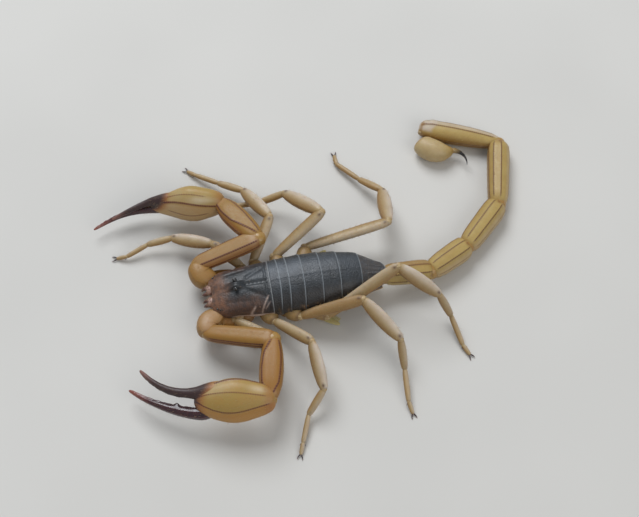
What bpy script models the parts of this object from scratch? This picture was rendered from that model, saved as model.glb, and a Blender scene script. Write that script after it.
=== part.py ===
"""A large desert scorpion at life size, standing with its tail curled on the ground.

The head looks towards -X, the animal's right side is +Y and the ground is the plane z = 0.
Every length below is in millimetres and every angle in degrees, until `placed` turns them to metres.
A heading turns about +Z from +X, and a pitch lifts above the ground.
"""
import math

import bmesh
import bpy
from mathutils import Matrix, Vector

MM = 0.001
GAP = 0.3
ORIGIN = Vector((21.05, -0.24, 0.0))
FOOT_SOLE = 0.32
UP = Vector((0.0, 0.0, 1.0))
SIDES = {"right": 1, "left": -1}

CARAPACE_LENGTH = 11.0
TERGITES = [1.6, 1.7, 2.7, 3.4, 3.4, 4.0, 4.6]
TRUNK_LENGTH = CARAPACE_LENGTH + sum(TERGITES)
TRUNK_HALF_WIDTH = 5.5
TRUNK_TOP = 8.9
TRUNK_FLOOR = 2.5
COXA_ROOF = 4.4
COXA_END = 18.3
EDGE_HEIGHT = 4.8
EYE_X = 4.6
EYE_Y = 0.92
EYE_RADIUS = 0.42

COXA_JOINTS = {1: (5.6, 3.6, 3.4), 2: (9.6, 4.0, 3.4), 3: (13.9, 4.3, 3.4), 4: (18.2, 4.4, 3.4)}
# lengths of trochanter, femur, patella, tibia, basitarsus and telotarsus
LEG_LENGTHS = {
    1: (2.4, 7.2, 8.2, 4.9, 4.5, 2.2),
    2: (2.6, 9.4, 9.0, 5.6, 5.2, 2.4),
    3: (2.8, 12.6, 10.0, 6.0, 6.2, 2.4),
    4: (3.4, 16.6, 9.6, 5.8, 6.0, 2.4),
}
# heading and pitch of each of those six lengths, as the legs stand
LEG_POSES = {
    (1, "right"): ((66, 8), (132, 6), (157, -8), (180, -14), (197, -14), (174, -17)),
    (2, "right"): ((112, 10), (60, 13), (118, -15), (144, -15), (143, -12), (135, -18)),
    (3, "right"): ((116, 7), (27, 25), (131, -21), (173, -35), (173, -11), (173, -15)),
    (4, "right"): ((80, 8), (3, 13), (86, -23), (132, -19), (128, -10), (92, -13)),
    (1, "left"): ((-150, 10), (-41, 9), (-97, -12), (-146, -17), (178, -12), (168, -15)),
    (2, "left"): ((-62, 9), (-48, 20), (-85, -14), (-137, -35), (-111, -9), (-111, -17)),
    (3, "left"): ((-49, 18), (-4, 23), (-54, -17), (-88, -47), (-94, -6), (-80, -15)),
    (4, "left"): ((-46, 5), (16, 29), (-35, -28), (-49, -58), (-78, -14), (-64, -19)),
}
FOOT_HEIGHT = 0.2
LEG_THICKNESS = {1: 0.9, 2: 0.96, 3: 1.0, 4: 1.0}

# the pincer arm's short second piece bends out from the mouth: its centres and half widths
PALP_TROCHANTER = (((-0.9, 3.6, 3.9), 0.9), ((-1.5, 4.3, 4.1), 1.55), ((-2.1, 5.2, 4.4), 1.85),
                   ((-2.3, 6.1, 4.7), 1.8), ((-2.0, 6.8, 4.85), 1.15))
PALP_HINGE = (-1.6, 7.1, 4.9)
PALP_LENGTHS = (12.5, 11.5)
PALP_POSES = {"right": ((8.5, 16), (122, -8)), "left": ((-21, 12.5), (-101.5, -2))}
HINGE_GAP = 1.3
PALM_LENGTH = 13.6
PALM_POSES = {"right": (167, -12), "left": (171, -3)}
# where the fingers lie round the palm's axis: towards the body's middle, and up
FIXED_ROOT = {"right": (-1.2, 1.3), "left": (1.4, 0.9)}
FIXED_TIP = {"right": (5.1, 1.5), "left": (6.6, -0.4)}
FIXED_REACH = {"right": 23.5, "left": 23.7}
MOVABLE_ROOT = {"right": (-0.8, -1.3), "left": (-1.4, -1.2)}
MOVABLE_TIP = {"right": (4.9, 0.7), "left": (3.5, -2.7)}
MOVABLE_REACH = {"right": 24.1, "left": 25.8}
PALM_DEPTH_ANGLE = {"right": -69, "left": -144}

TAIL_START = Vector((TRUNK_LENGTH, -0.9, 4.7))
TAIL_LENGTHS = (9.2, 8.9, 11.2, 13.6, 15.4)
TAIL_HEADINGS = (0.8, 28, 44, 75, 158)
TAIL_HEIGHTS = (3.2, 2.65, 2.25, 2.1, 2.05)
# how far each length of tail is rolled on to its side, its back turned to the inside of the curl
TAIL_ROLLS = (42, 84, 88, 88, 88)
TAIL_HALF_WIDTHS = (2.15, 2.35, 2.3, 2.2, 2.1)
TAIL_HALF_DEPTHS = (2.15, 2.3, 2.3, 2.2, 2.2)
VESICLE_START = Vector((44.6, 27.3, 2.15))
VESICLE_LENGTH = 7.4
VESICLE_BEND = (-66, 14)
VESICLE_RADIUS = 2.25
STING_LENGTH = 4.4
STING_BEND = (-10, -108)

MATERIALS = {
    "slate_cuticle": ((0.035, 0.038, 0.045), 0.42),
    "belly_cuticle": ((0.36, 0.24, 0.09), 0.5),
    "straw_cuticle": ((0.52, 0.36, 0.13), 0.42),
    "amber_cuticle": ((0.47, 0.23, 0.045), 0.38),
    "mahogany_cuticle": ((0.045, 0.012, 0.014), 0.25),
    "eye_lens": ((0.004, 0.004, 0.005), 0.05),
    "comb_cuticle": ((0.62, 0.55, 0.27), 0.5),
}


def start_empty():
    for item in list(bpy.data.objects):
        bpy.data.objects.remove(item)


def material(slot):
    found = bpy.data.materials.get(slot)
    if found:
        return found
    colour, roughness = MATERIALS[slot]
    made = bpy.data.materials.new(slot)
    made.use_nodes = True
    shader = made.node_tree.nodes["Principled BSDF"]
    shader.inputs["Base Color"].default_value = (*colour, 1.0)
    shader.inputs["Roughness"].default_value = roughness
    made.diffuse_color = (*colour, 1.0)
    return made


def towards(heading, pitch=0.0):
    heading = math.radians(heading)
    pitch = math.radians(pitch)
    flat = math.cos(pitch)
    return Vector((math.cos(heading) * flat, math.sin(heading) * flat, math.sin(pitch)))


def smooth(low, high, x):
    share = min(max((x - low) / (high - low), 0.0), 1.0)
    return share * share * (3.0 - 2.0 * share)


def read(stations, x):
    """The value at x on a line through (x, value) stations, eased between them."""
    for (low, first), (high, second) in zip(stations, stations[1:]):
        if x <= high:
            return first + (second - first) * smooth(low, high, x)
    return stations[-1][1]


def oval(sides, flat=0.0, turn=0.5):
    """A unit ring of points; flat above 0 squares it."""
    points = []
    for i in range(sides):
        angle = 2.0 * math.pi * (i + turn) / sides
        c, s = math.cos(angle), math.sin(angle)
        power = 1.0 - flat
        points.append((math.copysign(abs(c) ** power, c), math.copysign(abs(s) ** power, s)))
    return points


def placed(name, slot, bm, start):
    """Turn a millimetre mesh round `start` into the named object standing there."""
    bmesh.ops.recalc_face_normals(bm, faces=bm.faces)
    bmesh.ops.scale(bm, vec=(MM, MM, MM), verts=bm.verts)
    mesh = bpy.data.meshes.new(name)
    bm.to_mesh(mesh)
    bm.free()
    mesh.shade_smooth()
    mesh.set_sharp_from_angle(angle=math.radians(40))
    mesh.materials.append(material(slot))
    made = bpy.data.objects.new(name, mesh)
    made.location = (start - ORIGIN) * MM
    bpy.context.collection.objects.link(made)
    return made


def rest_on_floor(bm, start):
    """Cut away what reaches below the ground and close the cut, which leaves a flat to stand on."""
    plane = Vector((0.0, 0.0, -start.z))
    if min(vert.co.z for vert in bm.verts) > plane.z:
        return
    geometry = bm.verts[:] + bm.edges[:] + bm.faces[:]
    bmesh.ops.bisect_plane(bm, geom=geometry, plane_co=plane, plane_no=-UP, clear_outer=True)
    bmesh.ops.holes_fill(bm, edges=bm.edges, sides=0)


def loft(name, slot, centres, halves, up, outline):
    """Skin a row of rings; halves are each ring's half width and half height."""
    start = centres[0]
    bm = bmesh.new()
    rings = []
    last = len(centres) - 1
    for i, (centre, (half_width, half_height)) in enumerate(zip(centres, halves)):
        along = (centres[min(i + 1, last)] - centres[max(i - 1, 0)]).normalized()
        side = up.cross(along).normalized()
        top = along.cross(side)
        ring = []
        for c, s in outline:
            ring.append(bm.verts.new(centre - start + side * half_width * c + top * half_height * s))
        rings.append(ring)
    for near, far in zip(rings, rings[1:]):
        for i in range(len(outline)):
            j = (i + 1) % len(outline)
            bm.faces.new((near[i], near[j], far[j], far[i]))
    bm.faces.new(rings[0])
    bm.faces.new(rings[-1])
    rest_on_floor(bm, start)
    return placed(name, slot, bm, start)


def clearance(before, after, radius):
    """How far from a joint a round end of this radius stops, so that its neighbour's end clears it."""
    inside = before.angle(-after)
    return (radius + GAP / 2.0) / math.sin(inside / 2.0) - radius


def rounded(points, halves, stop, blunt=0.4):
    """Shorten a path by `stop` at its two ends and close each end with a dome."""
    points = [point.copy() for point in points]
    first = (points[1] - points[0]).normalized()
    final = (points[-1] - points[-2]).normalized()
    start = points[0] + first * stop[0]
    end = points[-1] - final * stop[1]
    a, b = halves[0], halves[-1]
    head = [(start, blunt), (start + first * 0.32 * max(a), 0.5 + blunt / 2.0 + 0.05)]
    tail = [(end - final * 0.32 * max(b), 0.5 + blunt / 2.0 + 0.05), (end, blunt)]
    points[0] = start + first * max(a)
    points[-1] = end - final * max(b)
    centres = [p for p, _ in head] + points + [p for p, _ in tail]
    sizes = [(a[0] * k, a[1] * k) for _, k in head] + list(halves) + [(b[0] * k, b[1] * k) for _, k in tail]
    return centres, sizes


def between(a, b, shares):
    return [a + (b - a) * share for share in shares]


def chain(start, lengths, poses):
    points = [Vector(start)]
    for length, pose in zip(lengths, poses):
        points.append(points[-1] + towards(*pose) * length)
    return points


def mirrored(point, side):
    return Vector((point[0], point[1] * SIDES[side], point[2]))


def trunk_half_width(x):
    shape = ((0.0, 3.5), (0.9, 4.2), (5.0, 4.7), (11.0, 5.2), (18.0, TRUNK_HALF_WIDTH), (24.0, 4.95),
             (28.5, 4.0), (TRUNK_LENGTH, 2.3))
    return read(shape, x)


def trunk_sway(x):
    """How far the trunk's middle bends aside at its rear end, towards the tail."""
    return (TAIL_START.y + 0.1) * smooth(26.0, TRUNK_LENGTH + 1.0, x)


def trunk_top(x):
    shape = ((0.0, 6.3), (1.4, 7.2), (4.0, 8.0), (11.0, 8.5), (18.0, TRUNK_TOP), (24.0, 8.6),
             (TRUNK_LENGTH, 6.7))
    return read(shape, x)


def trunk_bottom(x):
    return read(((COXA_END + 0.4, COXA_ROOF), (21.0, TRUNK_FLOOR), (29.0, 2.8), (TRUNK_LENGTH, 3.3)), x)


def carapace():
    """A domed shield with a raised eye mound, a furrow behind it and a flat lower face."""
    start = Vector((0.0, 0.0, 0.0))
    end = CARAPACE_LENGTH - GAP / 2.0
    bm = bmesh.new()
    rings = []
    for x in (0.0, 0.35, 1.2, 2.4, 3.4, 4.2, 4.9, 5.7, 7.2, 9.2, end - 0.4, end):
        half = trunk_half_width(x)
        rise = trunk_top(x) - EDGE_HEIGHT
        trim = 0.25 * smooth(end - 0.5, end, x)
        ring = []
        for share in (1.0, 0.96, 0.88, 0.75, 0.6, 0.45, 0.3, 0.17, 0.08):
            ring.append((half * share, 1.0 - share**2.4))
        ring.append((0.0, 1.0))
        ring += [(-y, k) for y, k in reversed(ring[:-1])]
        for i, (y, k) in enumerate(ring):
            z = EDGE_HEIGHT + rise * k**0.6 - trim
            mound = math.exp(-(((x - EYE_X) / 1.5) ** 2)) * math.exp(-((y / 0.54) ** 4))
            furrow = smooth(5.6, 7.0, x) * math.exp(-((y / 0.5) ** 2))
            ring[i] = bm.verts.new((x, y, z + 0.95 * mound - 0.3 * furrow))
        for share in (-0.92, -0.3, 0.3, 0.92):
            ring.append(bm.verts.new((x, half * share, EDGE_HEIGHT - 0.3)))
        rings.append(ring)
    for near, far in zip(rings, rings[1:]):
        for i in range(len(near)):
            j = (i + 1) % len(near)
            bm.faces.new((near[i], near[j], far[j], far[i]))
    bm.faces.new(rings[0])
    bm.faces.new(rings[-1])
    return placed("carapace", "slate_cuticle", bm, start)


def eye(side):
    """A median eye: a small round lens on the flank of the mound."""
    bm = bmesh.new()
    bmesh.ops.create_uvsphere(bm, u_segments=8, v_segments=5, radius=EYE_RADIUS)
    centre = mirrored((EYE_X, EYE_Y, 8.87), side)
    return placed(f"eye_{side}", "eye_lens", bm, centre)


def prosoma_underside():
    """The coxae of the pincers and legs with the breast plate between them."""
    stations = ((-0.8, 2.0), (0.6, 3.0), (1.8, 4.0), (3.2, 4.1), (4.6, 3.25), (9.0, 3.6), (13.4, 3.9),
                (COXA_END, 4.0))
    centres, halves = [], []
    for x in (-0.8, -0.4, 0.6, 1.8, 3.2, 4.6, 7.0, 9.4, 12.0, 15.0, COXA_END - 0.5, COXA_END):
        shrink = 1.0 - 0.3 * smooth(-0.2, -0.8, x) - 0.3 * smooth(COXA_END - 0.6, COXA_END, x)
        centres.append(Vector((x, 0.0, 3.0 + 0.05 * smooth(4.0, 0.0, x))))
        halves.append((read(stations, x) * shrink, 1.1 * shrink))
    return loft("prosoma_underside", "belly_cuticle", centres, halves, UP, oval(12, 0.35))


def chelicera(side):
    """A stout mouth pincer: a swollen base and a tip bent down."""
    centres, halves = [], []
    for share in (0.0, 0.15, 0.45, 0.7, 0.88, 1.0):
        x = -0.15 - 2.1 * share
        centres.append(mirrored((x, 1.35 - 0.2 * share, 5.6 - 0.7 * share * share), side))
        size = (1.0 - 0.28 * share) * (0.72 + 0.28 * math.sin(math.pi * min(share + 0.25, 1.0)))
        halves.append((1.12 * size, 1.15 * size * (1.0 - 0.35 * smooth(0.8, 1.0, share))))
    return loft(f"chelicera_{side}", "amber_cuticle", centres, halves, UP, oval(10))


def trunk_ring(x, shrink):
    """One cross-section of the abdomen: a rounded back over a flatter belly."""
    half = trunk_half_width(x) * shrink
    middle = trunk_sway(x)
    low, high = trunk_bottom(x), trunk_top(x)
    edge = low + 0.42 * (high - low)
    ring = []
    for i in range(18):
        angle = 2.0 * math.pi * i / 18.0
        c, s = math.cos(angle), math.sin(angle)
        y = half * math.copysign(abs(c) ** 0.85, c)
        if s >= 0.0:
            z = edge + (high - edge) * s ** 0.85 * shrink
        else:
            z = edge - (edge - low) * abs(s) ** 0.6 * shrink
        ring.append(Vector((x, middle + y, z)))
    return ring


def mesosoma(number):
    """One length of the abdomen, back plate and belly plate together; its rear rim stands proud."""
    near = CARAPACE_LENGTH + sum(TERGITES[: number - 1]) + GAP / 2.0
    far = near + TERGITES[number - 1] - GAP
    start = Vector((near, 0.0, 0.0))
    steps = max(1, round((far - near) / 1.3))
    spots = [(near, 0.95), (near + 0.3, 0.985)]
    for i in range(1, steps):
        spots.append((near + 0.3 + (far - near - 0.6) * i / steps, 1.0))
    spots += [(far - 0.3, 1.01), (far, 0.985)]
    bm = bmesh.new()
    rings = [[bm.verts.new(co - start) for co in trunk_ring(x, shrink)] for x, shrink in spots]
    for ring, following in zip(rings, rings[1:]):
        for i in range(18):
            j = (i + 1) % 18
            bm.faces.new((ring[i], ring[j], following[j], following[i]))
    bm.faces.new(rings[0])
    bm.faces.new(rings[-1])
    return placed(f"mesosoma_{number}", "slate_cuticle", bm, start)


def pecten(side):
    """One comb under the belly: a curved blade with a row of teeth on its rear edge."""
    teeth = 16
    length, width, half_thickness = 9.4, 1.1, 0.27
    bm = bmesh.new()
    front, rear = [], []
    for i in range(2 * teeth + 1):
        share = i / (2.0 * teeth)
        heading = math.radians(62.0 - 16.0 * share)
        along = Vector((math.cos(heading), math.sin(heading), 0.0))
        out = Vector((along.y, -along.x, 0.0))
        spot = Vector((16.6, 1.3, 1.45 - 0.35 * share)) + along * (length * share)
        tooth = 0.95 if i % 2 else 0.1
        reach = width * (0.55 + 0.45 * math.sin(math.pi * (0.15 + 0.8 * share)))
        reach += tooth * (1.0 - 0.4 * share)
        front.append(spot - out * 0.4)
        rear.append(spot + out * reach)
    outline = [point for point in front] + list(reversed(rear))
    top, bottom = [], []
    for point in outline:
        flipped = mirrored(point, side)
        top.append(bm.verts.new(flipped + UP * half_thickness))
        bottom.append(bm.verts.new(flipped - UP * half_thickness))
    count = len(outline)
    half = len(front)
    for layer in (top, bottom):
        for i in range(half - 1):
            bm.faces.new((layer[i], layer[i + 1], layer[count - 2 - i], layer[count - 1 - i]))
    for i in range(count):
        j = (i + 1) % count
        bm.faces.new((top[i], top[j], bottom[j], bottom[i]))
    return placed(f"pecten_{side}", "comb_cuticle", bm, Vector((0.0, 0.0, 0.0)))


def leg(number, side):
    """Femur with its trochanter, patella, and the tibia with both lengths of foot."""
    size = LEG_THICKNESS[number]
    joints = chain(mirrored(COXA_JOINTS[number], side), LEG_LENGTHS[number], LEG_POSES[number, side])
    joints[6].z = FOOT_HEIGHT
    base, turn, knee, shin, heel, pad, toe = joints
    outline = oval(8)
    hinge = (knee - turn).cross(shin - knee).normalized()

    knee_end = clearance(knee - turn, shin - knee, 0.9 * size)
    centres = [base, turn] + between(turn, knee, (0.3, 0.7)) + [knee]
    halves = [(0.98, 0.98), (1.0, 1.05), (0.84, 1.1), (0.88, 1.25), (0.8, 1.05)]
    halves = [(w * size, h * size) for w, h in halves]
    centres, halves = rounded(centres, halves, (GAP, knee_end))
    up = (knee - turn).cross(hinge)
    loft(f"leg_{number}_femur_{side}", "straw_cuticle", centres, halves, up, outline)

    shin_end = clearance(shin - knee, heel - shin, 0.75 * size)
    centres = [knee] + between(knee, shin, (0.3, 0.65)) + [shin]
    halves = [(0.78, 0.95), (0.98, 1.5), (0.98, 1.55), (0.72, 0.95)]
    halves = [(w * size, h * size) for w, h in halves]
    centres, halves = rounded(centres, halves, (knee_end, shin_end))
    up = (shin - knee).cross(hinge)
    loft(f"leg_{number}_patella_{side}", "straw_cuticle", centres, halves, up, outline)

    centres = [shin] + between(shin, heel, (0.4,)) + [heel] + between(heel, pad, (0.5,)) + [pad, toe]
    halves = [(0.66, 0.72), (0.78, 0.86), (0.62, 0.68), (0.56, 0.6), (0.5, 0.54), (0.42, 0.46)]
    halves = [(w * size, h * size) for w, h in halves[:-1]] + [(0.36, FOOT_HEIGHT + FOOT_SOLE)]
    centres, halves = rounded(centres, halves, (shin_end, 0.0))
    loft(f"leg_{number}_foot_{side}", "straw_cuticle", centres, halves, UP, outline)


def finger(root, tip, reach, axis, inward, power):
    """A finger's centre line: it runs along the palm's axis and hooks towards the body's middle."""
    lift = axis.cross(inward)
    lift = lift if lift.z > 0.0 else -lift
    points = []
    for i in range(7):
        share = i / 6.0
        across = [root[k] + (tip[k] - root[k]) * share**power for k in (0, 1)]
        along = reach[0] + (reach[1] - reach[0]) * share
        points.append(axis * along + inward * across[0] + lift * across[1])
    return points


def pedipalp(side):
    hinge = mirrored(PALP_HINGE, side)
    _, elbow, wrist = chain(hinge, PALP_LENGTHS, PALP_POSES[side])
    axis = towards(*PALM_POSES[side])
    inward = UP.cross(axis).normalized()
    inward = inward if inward.y * SIDES[side] < 0.0 else -inward
    outline = oval(10)

    centres = [mirrored(spot, side) for spot, _ in PALP_TROCHANTER]
    halves = [(size, size * 0.95) for _, size in PALP_TROCHANTER]
    loft(f"pedipalp_trochanter_{side}", "amber_cuticle", centres, halves, UP, outline)

    elbow_end = clearance(elbow - hinge, wrist - elbow, 1.3)
    centres = [hinge] + between(hinge, elbow, (0.3, 0.55, 0.8)) + [elbow]
    halves = [(1.1, 1.15), (1.7, 1.55), (1.9, 1.7), (1.9, 1.7), (1.4, 1.4)]
    centres, halves = rounded(centres, halves, (HINGE_GAP, elbow_end))
    loft(f"pedipalp_femur_{side}", "amber_cuticle", centres, halves, UP, outline)

    wrist_end = clearance(wrist - elbow, axis, 1.2)
    centres = [elbow] + between(elbow, wrist, (0.3, 0.55, 0.8)) + [wrist]
    halves = [(1.15, 1.2), (2.1, 1.8), (2.35, 2.0), (2.1, 1.9), (1.3, 1.3)]
    centres, halves = rounded(centres, halves, (elbow_end, wrist_end))
    loft(f"pedipalp_patella_{side}", "amber_cuticle", centres, halves, UP, outline)

    palm_up = axis.cross(inward)
    palm_up = palm_up if palm_up.z > 0.0 else -palm_up
    turn = math.radians(PALM_DEPTH_ANGLE[side])
    depth_way = inward * math.cos(turn) + palm_up * math.sin(turn)
    root = inward * FIXED_ROOT[side][0] + palm_up * FIXED_ROOT[side][1]
    palm = ((wrist_end, 0.9, 0.8), (wrist_end + 0.55, 1.9, 1.5), (2.6, 3.3, 2.2), (5.0, 4.15, 2.65),
            (7.4, 4.25, 2.7), (9.8, 3.7, 2.35), (11.6, 2.8, 1.8))
    centres = [wrist + axis * x for x, _, _ in palm]
    halves = [(depth, thick) for _, depth, thick in palm]
    centres[-1] = centres[-1] + root * 0.45
    reach = (PALM_LENGTH - 0.4, FIXED_REACH[side])
    path = finger(FIXED_ROOT[side], FIXED_TIP[side], reach, axis, inward, 2.5)
    for i, point in enumerate(path):
        centres.append(wrist + point)
        thick = 1.0 - 0.62 * (i / 6.0) ** 1.3
        halves.append((thick * 1.15, thick))
    loft(f"pedipalp_palm_{side}", "amber_cuticle", centres, halves, depth_way.cross(axis), outline)

    reach = (PALM_LENGTH - 0.9, MOVABLE_REACH[side])
    path = finger(MOVABLE_ROOT[side], MOVABLE_TIP[side], reach, axis, inward, 2.1)
    push = depth_way * 1.05
    centres = [wrist + point + push * (1.0 - smooth(0, 4, i)) for i, point in enumerate(path)]
    halves = [(0.55, 0.5)] + [(1.08 * k, k) for k in (0.95, 0.93, 0.86, 0.74, 0.58, 0.36)]
    loft(f"pedipalp_finger_{side}", "mahogany_cuticle", centres, halves, depth_way.cross(axis), oval(8))


def tail_joints():
    points = [TAIL_START]
    for length, heading, height in zip(TAIL_LENGTHS, TAIL_HEADINGS, TAIL_HEIGHTS):
        drop = height - points[-1].z
        flat = math.sqrt(length * length - drop * drop)
        points.append(points[-1] + towards(heading) * flat + UP * drop)
    return points


def tail_outline():
    """Twelve sides with eight keels standing a little proud."""
    points = []
    for i, (c, s) in enumerate(oval(12)):
        reach = 0.97 if i in (2, 3, 8, 9) else 1.03
        points.append((c * reach, s * reach))
    return points


def metasoma(number, joints):
    near, far = joints[number - 1], joints[number]
    along = (far - near).normalized()
    before = (near - joints[number - 2]).normalized() if number > 1 else along
    after = (joints[number + 1] - far).normalized() if number < 5 else towards(-45)
    roll = math.radians(TAIL_ROLLS[number - 1])
    inside = UP.cross(along).normalized()
    back = UP * math.cos(roll) + inside * math.sin(roll)
    half_width, half_depth = TAIL_HALF_WIDTHS[number - 1], TAIL_HALF_DEPTHS[number - 1]
    root = 0.62 if number == 5 else 0.84
    start_gap = GAP / 2.0 + 0.75 * half_width * math.tan(before.angle(along) / 2.0)
    end_gap = GAP / 2.0 + 0.75 * half_width * math.tan(min(along.angle(after), 1.2) / 2.0)
    centres = [near + along * start_gap, near + along * (start_gap + 0.35)]
    centres += between(near, far, (0.3, 0.6, 0.82)) + [far - along * (end_gap + 0.35), far - along * end_gap]
    scales = (0.7 * root, root, 0.98, 1.0, 0.98, 0.88, 0.66)
    halves = [(half_width * k, half_depth * k) for k in scales]
    loft(f"metasoma_{number}", "amber_cuticle", centres, halves, back, tail_outline())


def arc(start, bend, length, steps):
    points = [start.copy()]
    for i in range(steps):
        heading = bend[0] + (bend[1] - bend[0]) * (i + 0.5) / steps
        points.append(points[-1] + towards(heading) * (length / steps))
    return points


def telson():
    """The round venom bulb and the hooked sting, folded back beside the last length of tail."""
    centres = arc(VESICLE_START, VESICLE_BEND, VESICLE_LENGTH, 8)
    sizes = (0.55, 0.82, 0.96, 1.02, 1.02, 0.96, 0.8, 0.56, 0.32)
    halves = [(VESICLE_RADIUS * k, VESICLE_RADIUS * 0.96 * k) for k in sizes]
    loft("vesicle", "amber_cuticle", centres, halves, UP, oval(12))
    start = centres[-1] + towards(VESICLE_BEND[1]) * GAP
    centres = arc(start, STING_BEND, STING_LENGTH, 6)
    halves = [(0.62 - 0.34 * i / 6.0, 0.62 - 0.34 * i / 6.0) for i in range(7)]
    loft("aculeus", "mahogany_cuticle", centres, halves, UP, oval(8))


def build():
    start_empty()
    carapace()
    prosoma_underside()
    for number in range(1, len(TERGITES) + 1):
        mesosoma(number)
    for side in SIDES:
        eye(side)
        chelicera(side)
        pecten(side)
        pedipalp(side)
        for number in LEG_LENGTHS:
            leg(number, side)
    joints = tail_joints()
    for number in range(1, len(TAIL_LENGTHS) + 1):
        metasoma(number, joints)
    telson()


build()
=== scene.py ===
"""The looks of a life-size desert scorpion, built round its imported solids.

Pieces are shaped in millimetres in the trunk's own frame: the head towards -X, the animal's right side
at +Y, the ground at z = 0 and x = 0 at the front of the carapace. `lay` and `stand` set each one in place
in metres. A heading turns about +Z from +X, a pitch lifts above the ground, and a turn goes round a piece
from its back (0 degrees) towards its own +Y side (90 degrees). A note is a number kept for each corner
point of a piece; the materials read shade, pale, joint, keel, horn and the like by these names.
"""

import math

import bpy
import numpy as np
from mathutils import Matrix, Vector


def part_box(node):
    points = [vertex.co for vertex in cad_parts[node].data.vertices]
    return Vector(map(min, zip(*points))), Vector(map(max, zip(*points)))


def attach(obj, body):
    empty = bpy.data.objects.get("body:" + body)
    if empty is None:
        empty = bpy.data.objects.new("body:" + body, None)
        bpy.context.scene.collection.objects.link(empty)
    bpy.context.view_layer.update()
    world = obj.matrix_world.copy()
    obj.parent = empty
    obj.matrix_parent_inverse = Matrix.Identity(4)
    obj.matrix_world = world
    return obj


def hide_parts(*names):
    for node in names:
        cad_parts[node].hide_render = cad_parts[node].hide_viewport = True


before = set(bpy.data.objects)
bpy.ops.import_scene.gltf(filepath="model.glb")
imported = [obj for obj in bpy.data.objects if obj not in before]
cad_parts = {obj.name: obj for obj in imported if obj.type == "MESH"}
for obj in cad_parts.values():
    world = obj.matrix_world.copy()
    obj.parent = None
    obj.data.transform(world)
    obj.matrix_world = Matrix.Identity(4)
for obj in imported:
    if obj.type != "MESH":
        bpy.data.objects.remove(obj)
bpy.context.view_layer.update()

MM = 0.001
# how far above the ground the lowest points of the shell and of the bristles stay, in millimetres
CLEARANCE, BRISTLE_CLEARANCE = 0.02, 0.03
# rings along a dense piece stand this far apart; a path has so many samples for each of its points, and
# its corners are rounded over so many of them
RING_STEP = 1.0
PATH_SAMPLES, PATH_ROUNDING = 24, 35
SHIELD_LOW, SHIELD_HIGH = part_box("carapace")
# the trunk frame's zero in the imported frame: the shield's front edge, on the midline, at the ground
ORIGIN = np.array([SHIELD_LOW[0], (SHIELD_LOW[1] + SHIELD_HIGH[1]) / 2.0, 0.0])
UP = Vector((0.0, 0.0, 1.0))
SIDES = {"right": 1, "left": -1}
RANDOM = np.random.default_rng(11)

CARAPACE_LENGTH = 11.0
TERGITES = (1.6, 1.7, 2.7, 3.4, 3.4, 4.0, 4.6)
# how strong the painted sheen, a painted highlight on top where the light falls, is on each back plate
TERGITE_SHEEN = (0.62, 0.72, 0.6, 0.34, 0.3, 0.3, 0.2)
TRUNK_LENGTH = CARAPACE_LENGTH + sum(TERGITES)
# half width and height of the back along the trunk, and the height of its belly
TRUNK_X = (0.0, 0.9, 5.0, 11.0, 18.0, 24.0, 28.5, TRUNK_LENGTH)
TRUNK_HALF = (3.55, 4.1, 4.7, 5.2, 5.5, 4.95, 4.0, 2.3)
BACK_X = (0.0, 1.4, 4.0, 11.0, 18.0, 24.0, TRUNK_LENGTH)
BACK_Z = (6.3, 7.2, 8.0, 8.5, 8.9, 8.6, 6.7)
BELLY_X = (11.0, 18.7, 21.0, 29.0, TRUNK_LENGTH)
BELLY_Z = (3.3, 3.3, 2.55, 2.8, 3.3)
FLANK_X = (0.4, 1.2, 3.0, 6.0, 11.0, 15.0, 18.0, 21.0, 24.0, 28.5, 31.6, 32.6)
# plates: how many degrees they reach round the trunk to each side, the heights of their edges, how
# squarely the back is bent (1 is round), and the heights over which the shield's relief comes in
SHIELD_WRAP, TERGITE_WRAP, STERNITE_WRAP = 95.0, 99.0, 78.0
PLATE_EDGE, BELLY_EDGE = 4.7, 4.3
PLATE_POWER = 0.86
EDGE_FADE = (4.9, 5.8)
SHIELD_THICKNESS, TERGITE_THICKNESS, STERNITE_THICKNESS = 0.35, 0.28, 0.25
EYE_X = 4.6
EYE_SPOT = (EYE_X, 0.9, 8.87)
EYE_HALVES = (0.45, 0.405, 0.4275)
SIDE_EYES = ((0.75, 3.2, 0.22), (1.25, 3.45, 0.2), (1.7, 3.62, 0.16))

COMB_LENGTH, COMB_TEETH = 9.2, 27
COMB_START = (16.6, 1.3, 1.35)
PINCER_COXA_PATH = ((7.6, 3.1, 3.0), (4.2, 3.4, 3.1), (1.6, 3.8, 3.4), (-0.7, 4.0, 3.8))

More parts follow.
